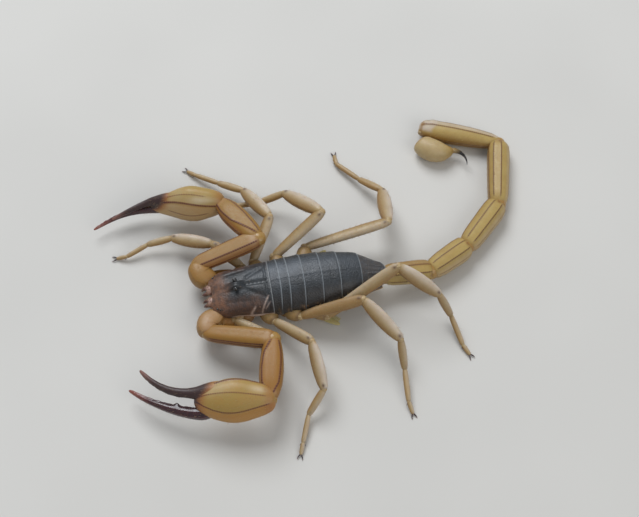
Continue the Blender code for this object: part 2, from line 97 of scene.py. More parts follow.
# each leg: its coxa's inner end and outer joint, the coxa's half width, how thick the leg is, and the
# lengths of trochanter, femur, patella, tibia, basitarsus and telotarsus
LEGS = {
    1: ((4.6, 0.9, 2.9), (5.6, 3.6, 3.4), 1.4, 0.9, (2.4, 7.2, 8.2, 4.9, 4.5, 2.2)),
    2: ((7.6, 0.9, 2.75), (9.6, 4.0, 3.4), 1.5, 0.96, (2.6, 9.4, 9.0, 5.6, 5.2, 2.4)),
    3: ((10.0, 1.2, 2.75), (13.9, 4.3, 3.4), 1.7, 1.0, (2.8, 12.6, 10.0, 6.0, 6.2, 2.4)),
    4: ((12.6, 1.3, 2.75), (18.2, 4.4, 3.4), 1.85, 1.0, (3.4, 16.6, 9.6, 5.8, 6.0, 2.4)),
}
LEG_POSES = {
    (1, "right"): ((66, 8), (132, 6), (157, -8), (180, -14), (197, -14), (174, -17)),
    (2, "right"): ((112, 10), (60, 13), (118, -15), (144, -15), (143, -12), (135, -18)),
    (3, "right"): ((116, 7), (27, 25), (131, -21), (173, -35), (173, -11), (173, -15)),
    (4, "right"): ((80, 8), (3, 13), (86, -23), (132, -19), (128, -10), (92, -13)),
    (1, "left"): ((-150, 10), (-41, 9), (-97, -12), (-146, -17), (178, -12), (168, -15)),
    (2, "left"): ((-62, 9), (-48, 20), (-85, -14), (-137, -35), (-111, -9), (-111, -17)),
    (3, "left"): ((-49, 18), (-4, 23), (-54, -17), (-88, -47), (-94, -6), (-80, -15)),
    (4, "left"): ((-46, 5), (16, 29), (-35, -28), (-49, -58), (-78, -14), (-64, -19)),
}
# the one femur that lies in shade, darkened by a painted shadow, and how deep that painted shadow is
SHADOWED_FEMUR, FEMUR_SHADOW = (3, "left"), 0.7
FOOT_HEIGHT, CLAW_TIP_HEIGHT = 0.34, 0.06
CUFF_SIZES = (0.8, 0.72, 0.59, 0.43, 0.35)

PALP_TROCHANTER = (((0.9, 2.8, 3.9), 1.6), ((0.0, 3.9, 4.0), 2.2), ((-1.2, 4.9, 4.2), 2.5),
                   ((-1.6, 6.0, 4.5), 2.35), ((-1.5, 6.9, 4.75), 1.95), ((-1.4, 7.4, 4.8), 1.3))
PALP_HINGE = (-1.6, 7.1, 4.9)
PALP_LENGTHS = (12.5, 11.5)
PALP_POSES = {"right": ((8.5, 16), (122, -8)), "left": ((-21, 12.5), (-101.5, -2))}
PALM_LENGTH = 13.6
PALM_POSES = {"right": (167, -12), "left": (171, -3)}
PALM_DEPTH_ANGLE = {"right": -69, "left": -144}
PALM_FRONT_SHARE = {"right": 0.7, "left": 0.98}
FINGER_START = 8.2
FINGER_SHARE = {"right": 0.78, "left": 1.0}
# where the fingers lie round the palm's axis: towards the body's middle, and up
FIXED_ROOT = {"right": (-0.35, 0.95), "left": (1.3, 0.82)}
FIXED_TIP = {"right": (3.15, 1.3), "left": (6.4, -0.45)}
FIXED_REACH = {"right": 20.5, "left": 23.6}
FIXED_BEND = {"right": 1.25, "left": 2.5}
MOVABLE_ROOT = {"right": (0.12, -0.33), "left": (-1.4, -1.2)}
MOVABLE_TIP = {"right": (4.9, 0.7), "left": (3.5, -2.7)}
MOVABLE_REACH = {"right": 24.1, "left": 25.8}
MOVABLE_BEND = 2.1
# how deep in the palm the movable finger's root lies, and how far its collar is drawn back into it
MOVABLE_SUNK = {"right": 0.75, "left": 1.7}
COLLAR_SUNK = {"right": 0.0, "left": 0.5}

TAIL_START = Vector((TRUNK_LENGTH, -0.9, 4.7))
TAIL_LENGTHS = (9.2, 8.9, 11.2, 13.6, 15.4)
TAIL_HEADINGS = (0.8, 28, 45, 77, 158)
TAIL_HEIGHTS = (3.2, 2.65, 2.25, 2.1, 2.05)
TAIL_ROLLS = (42, 84, 88, 88, 88)
TAIL_HALF_WIDTHS = (2.15, 2.35, 2.3, 2.2, 2.1)
TAIL_HALF_DEPTHS = (2.15, 2.3, 2.3, 2.2, 2.2)
VESICLE_START = Vector((45.1, 27.7, 2.15))
VESICLE_LENGTH, VESICLE_BEND = 7.4, (-66, 14)
VESICLE_RADIUS = 2.25
VESICLE_SHARES = (0.74, 0.95, 1.01, 1.03, 1.02, 0.95, 0.79, 0.53, 0.28)
STING_LENGTH, STING_BEND = 4.95, (-10, -108)

# bristles stand on this share of a piece's length and from this height up; their map has 9 x 9 cells
BRISTLE_SPAN = (0.04, 0.97)
BRISTLE_FLOOR = 0.5
MAP_CELLS = 9


# ---------------------------------------------------------------- shaping

def towards(heading, pitch=0.0):
    heading, pitch = math.radians(heading), math.radians(pitch)
    flat = math.cos(pitch)
    return Vector((math.cos(heading) * flat, math.sin(heading) * flat, math.sin(pitch)))


def mirrored(point, side):
    return Vector((point[0], point[1] * SIDES[side], point[2]))


def chain(start, lengths, poses):
    points = [Vector(start)]
    for length, pose in zip(lengths, poses):
        points.append(points[-1] + towards(*pose) * length)
    return points


def flowing(x, spots, values):
    """Values between spots along a smooth curve through them."""
    spots, values = np.asarray(spots, dtype=float), np.asarray(values, dtype=float)
    x = np.clip(np.asarray(x, dtype=float), spots[0], spots[-1])
    slopes = np.gradient(values, spots)
    low = np.clip(np.searchsorted(spots, x) - 1, 0, len(spots) - 2)
    span = spots[low + 1] - spots[low]
    t = (x - spots[low]) / span
    rise = t * t * (3.0 - 2.0 * t)
    lean = slopes[low] * t * (1.0 - t) ** 2 - slopes[low + 1] * t * t * (1.0 - t)
    return values[low] + (values[low + 1] - values[low]) * rise + lean * span


def ramp(low, high, x):
    t = np.clip((np.asarray(x, dtype=float) - low) / (high - low), 0.0, 1.0)
    return t * t * (3.0 - 2.0 * t)


def between(x, low, full, fade, end):
    """1 from full to fade, with soft ends that reach 0 at low and end."""
    return ramp(low, full, x) * (1.0 - ramp(fade, end, x))


def bell(x, centre, width, power=2):
    """1 at the centre, falling to 0 within about two widths on both sides."""
    return np.exp(-(((x - centre) / width) ** power))


def only(piece):
    bpy.ops.object.select_all(action="DESELECT")
    piece.select_set(True)
    bpy.context.view_layer.objects.active = piece


def apply(piece, kind, **settings):
    only(piece)
    modifier = piece.modifiers.new(kind.lower(), kind)
    for key, value in settings.items():
        setattr(modifier, key, value)
    bpy.ops.object.modifier_apply(modifier=modifier.name)


def turn_faces(piece, action):
    """Turn all the faces of a piece by one of Blender's actions."""
    only(piece)
    bpy.ops.object.mode_set(mode="EDIT")
    bpy.ops.mesh.select_all(action="SELECT")
    action()
    bpy.ops.object.mode_set(mode="OBJECT")


def added(name, action, **settings):
    """Add a piece by one of Blender's actions and name it."""
    bpy.ops.object.select_all(action="DESELECT")
    action(**settings)
    piece = bpy.context.object
    piece.name = piece.data.name = name
    return piece


def tube(name, stations, sides=12, levels=2):
    """A closed shell drawn out along +X ring by ring: (x, half width, half height)."""
    piece = added(name, bpy.ops.mesh.primitive_circle_add, vertices=sides, radius=1.0, fill_type="NGON",
                  rotation=(0, math.pi / 2, 0))
    bpy.ops.object.transform_apply(location=False, rotation=True, scale=False)
    bpy.ops.object.mode_set(mode="EDIT")
    bpy.ops.mesh.select_all(action="SELECT")
    x, wide, high = stations[0]
    bpy.ops.transform.resize(value=(1.0, wide, high), center_override=(0, 0, 0))
    bpy.ops.transform.translate(value=(x, 0.0, 0.0))
    for (x, wide, high), (far, next_wide, next_high) in zip(stations, stations[1:]):
        bpy.ops.mesh.extrude_region_move(TRANSFORM_OT_translate={"value": (far - x, 0.0, 0.0)})
        growth = (1.0, next_wide / wide, next_high / high)
        bpy.ops.transform.resize(value=growth, center_override=(far, 0, 0))
    bpy.ops.mesh.select_all(action="SELECT")
    bpy.ops.mesh.normals_make_consistent(inside=False)
    bpy.ops.object.mode_set(mode="OBJECT")
    apply(piece, "SUBSURF", levels=levels, render_levels=levels)
    return piece


def denser(stations):
    """More rings on smooth curves through the ones given, fine enough to hold a piece's granules."""
    places = [stations[0][0]]
    for (near, _, _), (far, _, _) in zip(stations, stations[1:]):
        count = max(1, round((far - near) / RING_STEP))
        places += [near + (far - near) * (k + 1) / count for k in range(count)]
    spots, wide, high = zip(*stations)
    return list(zip(places, flowing(places, spots, wide).tolist(), flowing(places, spots, high).tolist()))


def stretched(shape, length, size=1.0):
    """Rings of a shape given in shares of a piece's length."""
    return [(share * length, wide * size, high * size) for share, wide, high in shape]


def measured(centres, halves):
    """Rings along a straight piece for centres that lie on a curve."""
    run, stations = 0.0, []
    for i, (wide, high) in enumerate(halves):
        run += (centres[i] - centres[i - 1]).length if i else 0.0
        stations.append((run, wide, high))
    return stations


def sheet(name, along, across):
    """A flat grid to be curved into a plate, and its points: 0 to 1 along it and -1 to 1 across it."""
    piece = added(name, bpy.ops.mesh.primitive_grid_add, x_subdivisions=along, y_subdivisions=across,
                  size=2.0)
    x, y, _ = read(piece).T
    return piece, ((x + 1.0) / 2.0).astype(np.float32).astype(float), y


def ball(name, centre, halves, segments=16, rings=10):
    piece = added(name, bpy.ops.mesh.primitive_uv_sphere_add, segments=segments, ring_count=rings, radius=1.0,
                  location=centre)
    bpy.ops.transform.resize(value=halves, center_override=centre)
    bpy.ops.object.transform_apply(location=True, rotation=True, scale=True)
    return piece


def read(piece):
    co = np.empty(len(piece.data.vertices) * 3)
    piece.data.vertices.foreach_get("co", co)
    return co.reshape(-1, 3)


def write(piece, co):
    piece.data.vertices.foreach_set("co", np.ascontiguousarray(co).ravel())
    piece.data.update()


def note(piece, **notes):
    """Keep numbers for each corner point, for the piece's material to read."""
    for name, values in notes.items():
        found = piece.data.attributes.get(name) or piece.data.attributes.new(name, "FLOAT", "POINT")
        values = np.zeros(len(piece.data.vertices)) + values
        found.data.foreach_set("value", values.astype(np.float32))


def noted(piece, name):
    values = np.zeros(len(piece.data.vertices), dtype=np.float32)
    if name in piece.data.attributes:
        piece.data.attributes[name].data.foreach_get("value", values)
    return values


def turn_of(co):
    return np.degrees(np.arctan2(co[:, 1], co[:, 2]))


def keeled(piece, keels):
    """Raise rows of granules: (turns along the piece, height, half width, spacing, start, end, darkness)."""
    co = read(piece)
    share = co[:, 0] / co[:, 0].max()
    reach = np.maximum(np.hypot(co[:, 1], co[:, 2]), 0.05)
    rise, dark = np.zeros(len(co)), np.zeros(len(co))
    for turns, height, width, spacing, start, end, darkness in keels:
        here = np.interp(share, np.linspace(0.0, 1.0, len(turns)), turns)
        away = np.radians((turn_of(co) - here + 180.0) % 360.0 - 180.0) * reach
        window = between(share, start - 0.04, start + 0.05, end - 0.05, end + 0.04)
        beads = 0.5 + 0.5 * np.cos(2.0 * math.pi * co[:, 0] / spacing + here[0])
        rise += height * bell(away, 0.0, width) * window * (0.35 + 0.65 * beads)
        band = bell(away, 0.0, 1.25 * width) * window * darkness
        dark = np.maximum(dark, band * (0.45 + 0.55 * beads))
    co[:, 1:] *= (1.0 + rise / reach)[:, None]
    write(piece, co)
    note(piece, keel=dark)


def beaded(turns, height=0.12, width=0.16, spacing=0.46, begin=0.04, end=0.96, darkness=1.0):
    return (turns, height, width, spacing, begin, end, darkness)


def both(turn, *rest):
    """The same row of granules on the two sides of a piece."""
    return ((turn,), *rest), ((-turn,), *rest)


def boxed(piece, power):
    """Square a round piece a little, so that flat faces meet at its keels."""
    co = read(piece)
    angle = np.arctan2(co[:, 1], co[:, 2])
    swell = (np.abs(np.cos(angle)) ** power + np.abs(np.sin(angle)) ** power) ** (-1.0 / power)
    co[:, 1:] *= (swell * 0.94)[:, None]
    write(piece, co)


def stand(piece, co):
    """Turn points of the trunk frame to metres where the piece stands, none of them in the ground."""
    out = co * MM + ORIGIN
    out[:, 2] = np.maximum(out[:, 2], CLEARANCE * MM)
    write(piece, out)


def lay(piece, path, up):
    """Bend a piece drawn along +X on to a path through points, and note where its points lay on it."""
    co = read(piece)
    x = co[:, 0]
    note(piece, along=x / max(x.max(), 1e-6), turn=turn_of(co))
    points = np.array([list(point) for point in path])
    reach = np.concatenate([[0.0], np.cumsum(np.linalg.norm(np.diff(points, axis=0), axis=1))])
    dense = np.linspace(0.0, reach[-1], PATH_SAMPLES * len(points))
    curve = np.stack([np.interp(dense, reach, points[:, k]) for k in range(3)], axis=1)
    if len(points) > 2:
        kernel = np.hanning(PATH_ROUNDING)[1:-1]
        kernel /= kernel.sum()
        pad = len(kernel) // 2
        before = curve[0] + (curve[0] - curve[1]) * np.arange(pad, 0, -1)[:, None]
        after = curve[-1] + (curve[-1] - curve[-2]) * np.arange(1, pad + 1)[:, None]
        long = np.concatenate([before, curve, after])
        curve = np.stack([np.convolve(long[:, k], kernel, mode="valid") for k in range(3)], axis=1)
    tangent = np.gradient(curve, dense, axis=0)
    tangent /= np.linalg.norm(tangent, axis=1)[:, None]
    inside = np.clip(x, 0.0, dense[-1])
    base = np.stack([np.interp(inside, dense, curve[:, k]) for k in range(3)], axis=1)
    along = np.stack([np.interp(inside, dense, tangent[:, k]) for k in range(3)], axis=1)
    along /= np.linalg.norm(along, axis=1)[:, None]
    side = np.cross(np.array(up), along)
    side /= np.linalg.norm(side, axis=1)[:, None]
    top = np.cross(along, side)
    stand(piece, base + along * (x - inside)[:, None] + side * co[:, 1:2] + top * co[:, 2:3])


def joined(name, pieces):
    only(pieces[0])
    for piece in pieces:
        piece.select_set(True)
    bpy.ops.object.join()
    pieces[0].name = pieces[0].data.name = name
    return pieces[0]


def given(piece, material, slot, *nodes):
    """Finish a piece: its material, smooth faces, what it rides on and which solids it stands for."""
    piece.data.materials.append(material)
    piece.data.shade_smooth()
    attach(piece, "root")
    if nodes:
        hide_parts(*nodes)
    return piece


def beads(name, spots, material, slot, segments=24, rings=16):
    """Several balls in one piece: (centre, half sizes)."""
    piece = joined(name, [ball("bead", centre, halves, segments, rings) for centre, halves in spots])
    stand(piece, read(piece))
    return given(piece, material, slot)


# ---------------------------------------------------------------- materials

def linear(text):
    """An sRGB hex colour as the linear values that shaders take."""
    out = []
    for k in (0, 2, 4):
        value = int(text[k:k + 2], 16) / 255.0
        out.append(value / 12.92 if value <= 0.04045 else ((value + 0.055) / 1.055) ** 2.4)
    return (*out, 1.0)


def node(tree, kind, settings=None, **links):
    """Add one node; settings are its properties or socket values, links join sockets to its inputs."""
    made = tree.nodes.new(kind)
    for key, value in (settings or {}).items():
        if key in made.inputs:
            made.inputs[key].default_value = value
        else:
            setattr(made, key, value)
    for key, source in links.items():
        tree.links.new(source, made.inputs[int(key[1:]) if key[0] == "_" else key])
    return made


def start(name, settings):
    """A material with its shader's plain values set: itself, its tree and shader, and places in mm."""
    material = bpy.data.materials.new(name)
    material.use_nodes = True
    tree = material.node_tree
    shader = tree.nodes["Principled BSDF"]
    for key, value in settings.items():
        shader.inputs[key].default_value = value
    place = node(tree, "ShaderNodeTexCoord").outputs["Object"]
    scaled = node(tree, "ShaderNodeMapping", {"Scale": (1000.0, 1000.0, 1000.0)}, Vector=place)
    return (material, tree, shader), tree, scaled.outputs["Vector"]


def span(tree, value, low, high, to_low=0.0, to_high=1.0):
    """Stretch a number so that low to high becomes the numbers asked for."""
    ends = {"From Min": low, "From Max": high, "To Min": to_low, "To Max": to_high}
    return node(tree, "ShaderNodeMapRange", ends, Value=value).outputs[0]


def fact(tree, name, low=0.0, high=1.0):
    """A note of the mesh, stretched so that low to high becomes 0 to 1."""
    return span(tree, node(tree, "ShaderNodeAttribute", {"attribute_name": name}).outputs["Fac"], low, high)


def grain(tree, place, scale, detail=3.0, low=0.35, high=0.65):
    cloud = node(tree, "ShaderNodeTexNoise", {"Scale": scale, "Detail": detail}, Vector=place)
    return span(tree, cloud.outputs["Fac"], low, high)


def cells(tree, place, scale):
    return node(tree, "ShaderNodeTexVoronoi", {"Scale": scale}, Vector=place).outputs["Distance"]


def times(tree, first, second, operation="MULTIPLY"):
    made = node(tree, "ShaderNodeMath", {"operation": operation, "use_clamp": True}, _0=first)
    if isinstance(second, float):
        made.inputs[1].default_value = second
    else:
        tree.links.new(second, made.inputs[1])
    return made.outputs[0]


def painted(made, colour, layers, gloss=None, bumps=()):
    """Finish a material: colours laid over the first one by their shares, a gloss that varies with a
    number (number, least, most roughness), and bumps (height, depth in millimetres) on one another."""
    material, tree, shader = made
    for share, over in layers:
        mix = node(tree, "ShaderNodeMix", {"data_type": "RGBA"}, _0=share)
        if isinstance(colour, str):
            mix.inputs[6].default_value = linear(colour)
        else:
            tree.links.new(colour, mix.inputs[6])
        mix.inputs[7].default_value = linear(over)
        colour = mix.outputs[2]
    tree.links.new(colour, shader.inputs["Base Color"])
    if gloss:
        tree.links.new(span(tree, gloss[0], 0.0, 1.0, *gloss[1:]), shader.inputs["Roughness"])
    below = {}
    for height, depth in bumps:
        settings = {"Strength": 1.0, "Distance": depth * MM}
        below = {"Normal": node(tree, "ShaderNodeBump", settings, Height=height, **below).outputs["Normal"]}
    if bumps:
        tree.links.new(below["Normal"], shader.inputs["Normal"])
    return material


def horny_shell(name, face, under, keel, pale, joint, roughness=0.46, glow=0.12, pebble=0.014, horn=()):
    """Scorpion cuticle: a translucent horny shell with a waxy gloss, browner beneath and at its joints,
    finely pebbled, with darker granules along its keels; horn gives the colours it hardens to."""
    made, tree, place = start(name, {
        "Subsurface Weight": glow, "Subsurface Radius": (1.0, 0.55, 0.25), "Subsurface Scale": 0.6 * MM,
        "Coat Weight": 0.12, "Coat Roughness": 0.3})
    fine = grain(tree, place, 2.6, 4.0, 0.3, 0.7)
    layers = [(times(tree, fact(tree, "shade"), times(tree, fine, 0.25), "ADD"), under),
              (times(tree, fact(tree, "pale"), 0.9), pale),
              (times(tree, grain(tree, place, 0.45), 0.22), under),
              (times(tree, span(tree, cells(tree, place, 1.9), 0.16, 0.05), 0.22), keel),
              (times(tree, fact(tree, "joint"), 0.92), joint),
              (fact(tree, "keel", 0.12, 0.72), keel)]
    layers += [(fact(tree, attribute), hard) for attribute, hard in zip(("horn", "tip"), horn)]
    bumps = ((cells(tree, place, 4.6), -pebble), (fine, 0.006))
    return painted(made, face, layers, (fine, roughness - 0.07, roughness + 0.12), bumps)


def slate_shell(name, back, dust_and_painted_sheen, flank, front, line, fleck, hem):
    """The back plates: near-black cuticle, granular like shagreen, with a painted bluish sheen on top where
    the light falls, specks of dust, amber flecks down the sides and a pale hem."""
    made, tree, place = start(name, {"Coat Weight": 0.2, "Coat Roughness": 0.3})
    fine = grain(tree, place, 3.2, 5.0, 0.3, 0.7)
    cloud = times(tree, grain(tree, place, 0.5, 4.0), 0.22)
    blotch = span(tree, grain(tree, place, 1.3, 4.0, 0.4, 0.6), 0.0, 1.0, 0.5, 1.0)
    dust = span(tree, cells(tree, place, 2.3), 0.1, 0.45)
    mark = span(tree, cells(tree, place, 0.8), 0.13, 0.05)
    # painted highlight: the sheen colour laid over the top by the bloom note and mottled by the cloud; the
    # same colour also tints the dust specks
    layers = ((times(tree, fact(tree, "bloom"), cloud, "ADD"), dust_and_painted_sheen),
              (times(tree, fact(tree, "shade"), 0.95), flank),
              (times(tree, fact(tree, "front"), blotch), front),
              (times(tree, dust, times(tree, fine, 0.22)), dust_and_painted_sheen),
              (times(tree, mark, fact(tree, "fleck")), fleck),
              (fact(tree, "hem"), hem),
              (fact(tree, "rim"), line))
    bumps = ((cells(tree, place, 3.6), -0.05), (cells(tree, place, 8.0), -0.02), (fine, 0.01))
    return painted(made, back, layers, (fine, 0.34, 0.55), bumps)


def dark_horn(name, body, edge, tip, tip_start, tip_end=1.0):
    """Hardened finger horn: almost black mahogany, polished by use, redder where it thins."""
    made, tree, place = start(name, {"Coat Weight": 0.5, "Coat Roughness": 0.15})
    fine = grain(tree, place, 2.2, 4.0)
    layers = ((times(tree, fact(tree, "keel"), 0.8), edge), (times(tree, fine, 0.35), edge),
              (fact(tree, "along", tip_start, tip_end), tip))
    return painted(made, body, layers, (fine, 0.2, 0.38), ((fine, 0.02),))


def eye_lens():
    """A simple eye's lens: a polished black bead."""
    made, tree, place = start("polished_eye_lens", {
        "Roughness": 0.05, "Coat Weight": 1.0, "Coat Roughness": 0.02})
    return painted(made, "050507", ((grain(tree, place, 6.0), "0d0e12"),))


def soft_membrane(name, pale, deep):
    """Arthrodial membrane: thin soft skin between the plates, finely wrinkled."""
    made, tree, place = start(name, {
        "Roughness": 0.5, "Subsurface Weight": 0.2, "Subsurface Radius": (1.0, 0.5, 0.25),
        "Subsurface Scale": 0.5 * MM})
    drawn_out = node(tree, "ShaderNodeMapping", {"Scale": (0.5, 1.0, 2.2)}, Vector=place).outputs["Vector"]
    folds = grain(tree, drawn_out, 3.0)
    return painted(made, pale, ((folds, deep),), bumps=((folds, 0.05),))


def bristle():
    """Setae: stiff golden-brown hairs, a little glassy."""
    made, tree, place = start("golden_bristle", {"Roughness": 0.35})
    return painted(made, "c8b189", ((grain(tree, place, 0.6), "a08256"),))


def studio_floor():
    """Matt painted board, pale grey, barely mottled."""
    made, tree, place = start("pale_painted_board", {"Roughness": 0.75})
    return painted(made, "d2d0cb", ((times(tree, grain(tree, place, 0.02, 2.0), 0.5), "c9c7c2"),))


# the second colour of each slate shell tints the dust specks and is the painted sheen on top, where the light
# falls
BACK = slate_shell("slate_back_cuticle", "121516", "4e565f", "231d19", "50463e", "7b8186", "9c7347", "8a6c4c")
SHIELD = slate_shell("shield_cuticle", "141617", "444b52", "2e2222", "80583f", "8a8d8f", "a88873", "c2aca0")
PALP = horny_shell("olive_amber_palp_cuticle", "92702f", "986322", "54201a", "b8997a", "8d5c26", 0.5)
# on the right hand part of the pale colour is a painted highlight by the wrist and painted light on the lower
# face
PALM = horny_shell("olive_gold_palm_cuticle", "a28948", "ac7d3c", "5a211b", "cdbd9c", "94562f",
                   horn=("2b1c22", "8b5f52"))
DOME = horny_shell("smooth_joint_cuticle", "a8864c", "93682f", "6b3a1c", "cdb07a", "8f6334", 0.27, 0.2, 0.003)
# on the tail rings part of the pale colour is a painted reflection on the faces past their lower keels
TAIL = horny_shell("golden_tail_cuticle", "b59c5c", "947037", "5d3619", "c6b8a8", "8a6434")
# on the legs the pale colour is a painted highlight along their backs
LEG = horny_shell("straw_leg_cuticle", "ab9468", "94713f", "6f4729", "cfc3b6", "4f3320", glow=0.2)
BELLY = horny_shell("yellow_brown_belly_cuticle", "a98549", "8a6030", "5c3a20", "bfa77a", "5c3a20")
COMB = horny_shell("pale_comb_cuticle", "c9bf86", "b3a46a", "8f7a40", "ded6a8", "8f7a40", glow=0.25)
JAW = horny_shell("jaw_cuticle", "a07868", "6e4c40", "42181a", "c7a99a", "4a2a1e")
HORN = dark_horn("mahogany_finger_horn", "2c1a20", "571f20", "8a4a3a", 0.72)
STING = dark_horn("black_sting_horn", "a68b57", "7a4f28", "120b0b", 0.04, 0.38)
LENS = eye_lens()
MEMBRANE = soft_membrane("pale_joint_membrane", "c2ab82", "9c8156")
FLANK = soft_membrane("amber_flank_membrane", "8a6a3c", "5c4126")
BRISTLE = bristle()


# ---------------------------------------------------------------- trunk

def half_width(x):
    return flowing(x, TRUNK_X, TRUNK_HALF)


def back_height(x):
    return flowing(x, BACK_X, BACK_Z)


def belly_height(x):
    return flowing(x, BELLY_X, BELLY_Z)


def sway(x):
    """How far the trunk's middle bends aside at its rear end, towards the tail."""
    return (TAIL_START.y + 0.1) * ramp(26.0, TRUNK_LENGTH + 1.0, x)


def over_back(x, across, wrap, swell=0.0):
    """Where a point of the back lies: across runs from -1 to 1 over the trunk, wrap degrees to each side."""
    turn = np.radians(wrap) * across
    half, rise = half_width(x) + swell, back_height(x) - PLATE_EDGE + swell
    side, top = np.sin(turn), np.cos(turn)
    y = half * np.sign(side) * np.abs(side) ** PLATE_POWER
    return y, PLATE_EDGE + rise * np.sign(top) * np.abs(top) ** PLATE_POWER


def curved(piece, x, y, z, thickness, flipped=False):
    """Curve a sheet into a plate with some thickness inwards, where it stands."""
    write(piece, np.stack([x, y, z], axis=1))
    if flipped:
        turn_faces(piece, bpy.ops.mesh.flip_normals)
    apply(piece, "SOLIDIFY", thickness=thickness, offset=-1.0, use_even_offset=False)
    stand(piece, read(piece))


def granules(x, y, spacing, seed, table=97):
    """Round grains scattered with a spacing, each about two thirds of it wide."""
    ix, iy = np.floor(x / spacing).astype(int), np.floor(y / spacing).astype(int)
    jitter = np.random.default_rng(seed).random((table, table, 3))
    best, height = np.full(len(x), 9.0), np.zeros(len(x))
    for dx in (-1, 0, 1):
        for dy in (-1, 0, 1):
            cell = jitter[(ix + dx) % table, (iy + dy) % table]
            px = (ix + dx + 0.15 + 0.7 * cell[:, 0]) * spacing
            py = (iy + dy + 0.15 + 0.7 * cell[:, 1]) * spacing
            away = np.hypot(x - px, y - py) / spacing
            height = np.where(away < best, 0.4 + 0.6 * cell[:, 2], height)
            best = np.minimum(best, away)
    return height * bell(best, 0.0, 0.34)


def granule_row(x, spacing):
    return 0.5 + 0.5 * np.cos(2.0 * math.pi * x / spacing)


def stroke(x, y, start, end, width):
    """How near a point lies to a short line, from 1 on it to 0."""
    way = np.array(end) - np.array(start)
    share = np.clip(((x - start[0]) * way[0] + (y - start[1]) * way[1]) / (way @ way), 0.0, 1.0)
    return bell(np.hypot(x - start[0] - share * way[0], y - start[1] - share * way[1]), 0.0, width)


def carapace():
    """The head shield, with its eye mound and brows, middle furrow, side furrows and coarse granules."""
    piece, share, across = sheet("carapace_shield", 110, 120)
    x = share * (CARAPACE_LENGTH + 0.1)
    y, z = over_back(x, across, SHIELD_WRAP)
    away = np.abs(y)
    x = x - (1.0 - share) ** 6 * (0.5 * bell(away, 2.0, 1.1) - 0.15)
    mound = bell(x, EYE_X, 1.35) * bell(y, 0.0, 0.68, 4)
    brow = bell(x, EYE_X, 1.5) * bell(away, 0.56, 0.16)
    slot = bell(y, 0.0, 0.2) * between(x, 1.2, 3.0, 9.6, 10.4)
    behind = bell(y, 0.0, 0.42) * between(x, 5.4, 6.6, 10.0, 10.7)
    slant = bell(away - 0.52 * (x - 6.0), 0.9, 0.5) * between(x, 5.8, 7.2, 9.6, 10.6)
    rear = bell(x, 10.25, 0.2)
    frontal = bell(away, 0.0, 0.6) * (1.0 - ramp(1.6, 3.2, x))
    dip = bell(away - 0.1 * x, 2.5, 0.3) * between(x, 2.2, 3.4, 6.4, 7.4)
    relief = 0.95 * mound + 0.17 * brow - 0.1 * slot - 0.28 * behind - 0.22 * slant - 0.12 * rear
    relief = relief - 0.16 * frontal - 0.14 * dip
    relief = relief + 0.055 * granules(x, y, 0.36, 5) * ramp(0.6, 1.4, away) * (1.0 - mound)
    z = z + ramp(*EDGE_FADE, z) * relief

    front = 0.9 * (1.0 - ramp(1.4, 4.0, x + 0.3 * away - 0.6))
    low_left = 0.45 * ramp(1.2, 3.8, -y) * (1.0 - ramp(8.0, 10.5, x))
    low_right = 0.45 * ramp(2.6, 4.2, y) * (1.0 - ramp(5.0, 9.0, x))
    socket = bell(np.hypot(x - EYE_X - 0.2, 1.2 * (away - EYE_SPOT[1])), 0.0, 0.8)
    streaks = stroke(x, y, (6.5, -5.1), (7.7, -4.3), 0.16) + stroke(x, y, (8.9, -4.9), (10.3, -2.9), 0.15)
    streaks = streaks + 0.6 * stroke(x, y, (9.6, -4.7), (10.5, -3.9), 0.12)
    streaks = streaks * (0.4 + 0.6 * granules(x, y, 0.3, 9))
    edge = ramp(0.89, 0.915, -across) * ramp(2.6, 4.4, x)
    dots = 0.6 * bell(y, 0.0, 0.14) * ramp(6.2, 7.0, x) * ramp(0.5, 0.9, granule_row(x, 0.75))
    # bloom: a painted highlight on the top towards the right side, where the light falls
    note(piece, front=np.clip(front + low_left + low_right, 0, 1),
         bloom=0.45 * bell(y, 1.9, 1.9) * ramp(5.0, 9.0, x),
         shade=ramp(2.6, 4.6, away) * 0.6 * (1.0 - socket),
         fleck=0.25 + 0.5 * ramp(3.0, 4.2, away),
         hem=np.clip(1.1 * streaks + 0.95 * edge, 0, 1),
         rim=np.clip(0.8 * ramp(0.978, 0.994, share) + dots, 0, 1))
    curved(piece, x, y, z, SHIELD_THICKNESS)
    given(piece, SHIELD, "slate_cuticle", "carapace")


def segment(number):
    """Where one of the seven segments behind the shield begins, and its length."""
    return CARAPACE_LENGTH + sum(TERGITES[:number - 1]), TERGITES[number - 1]


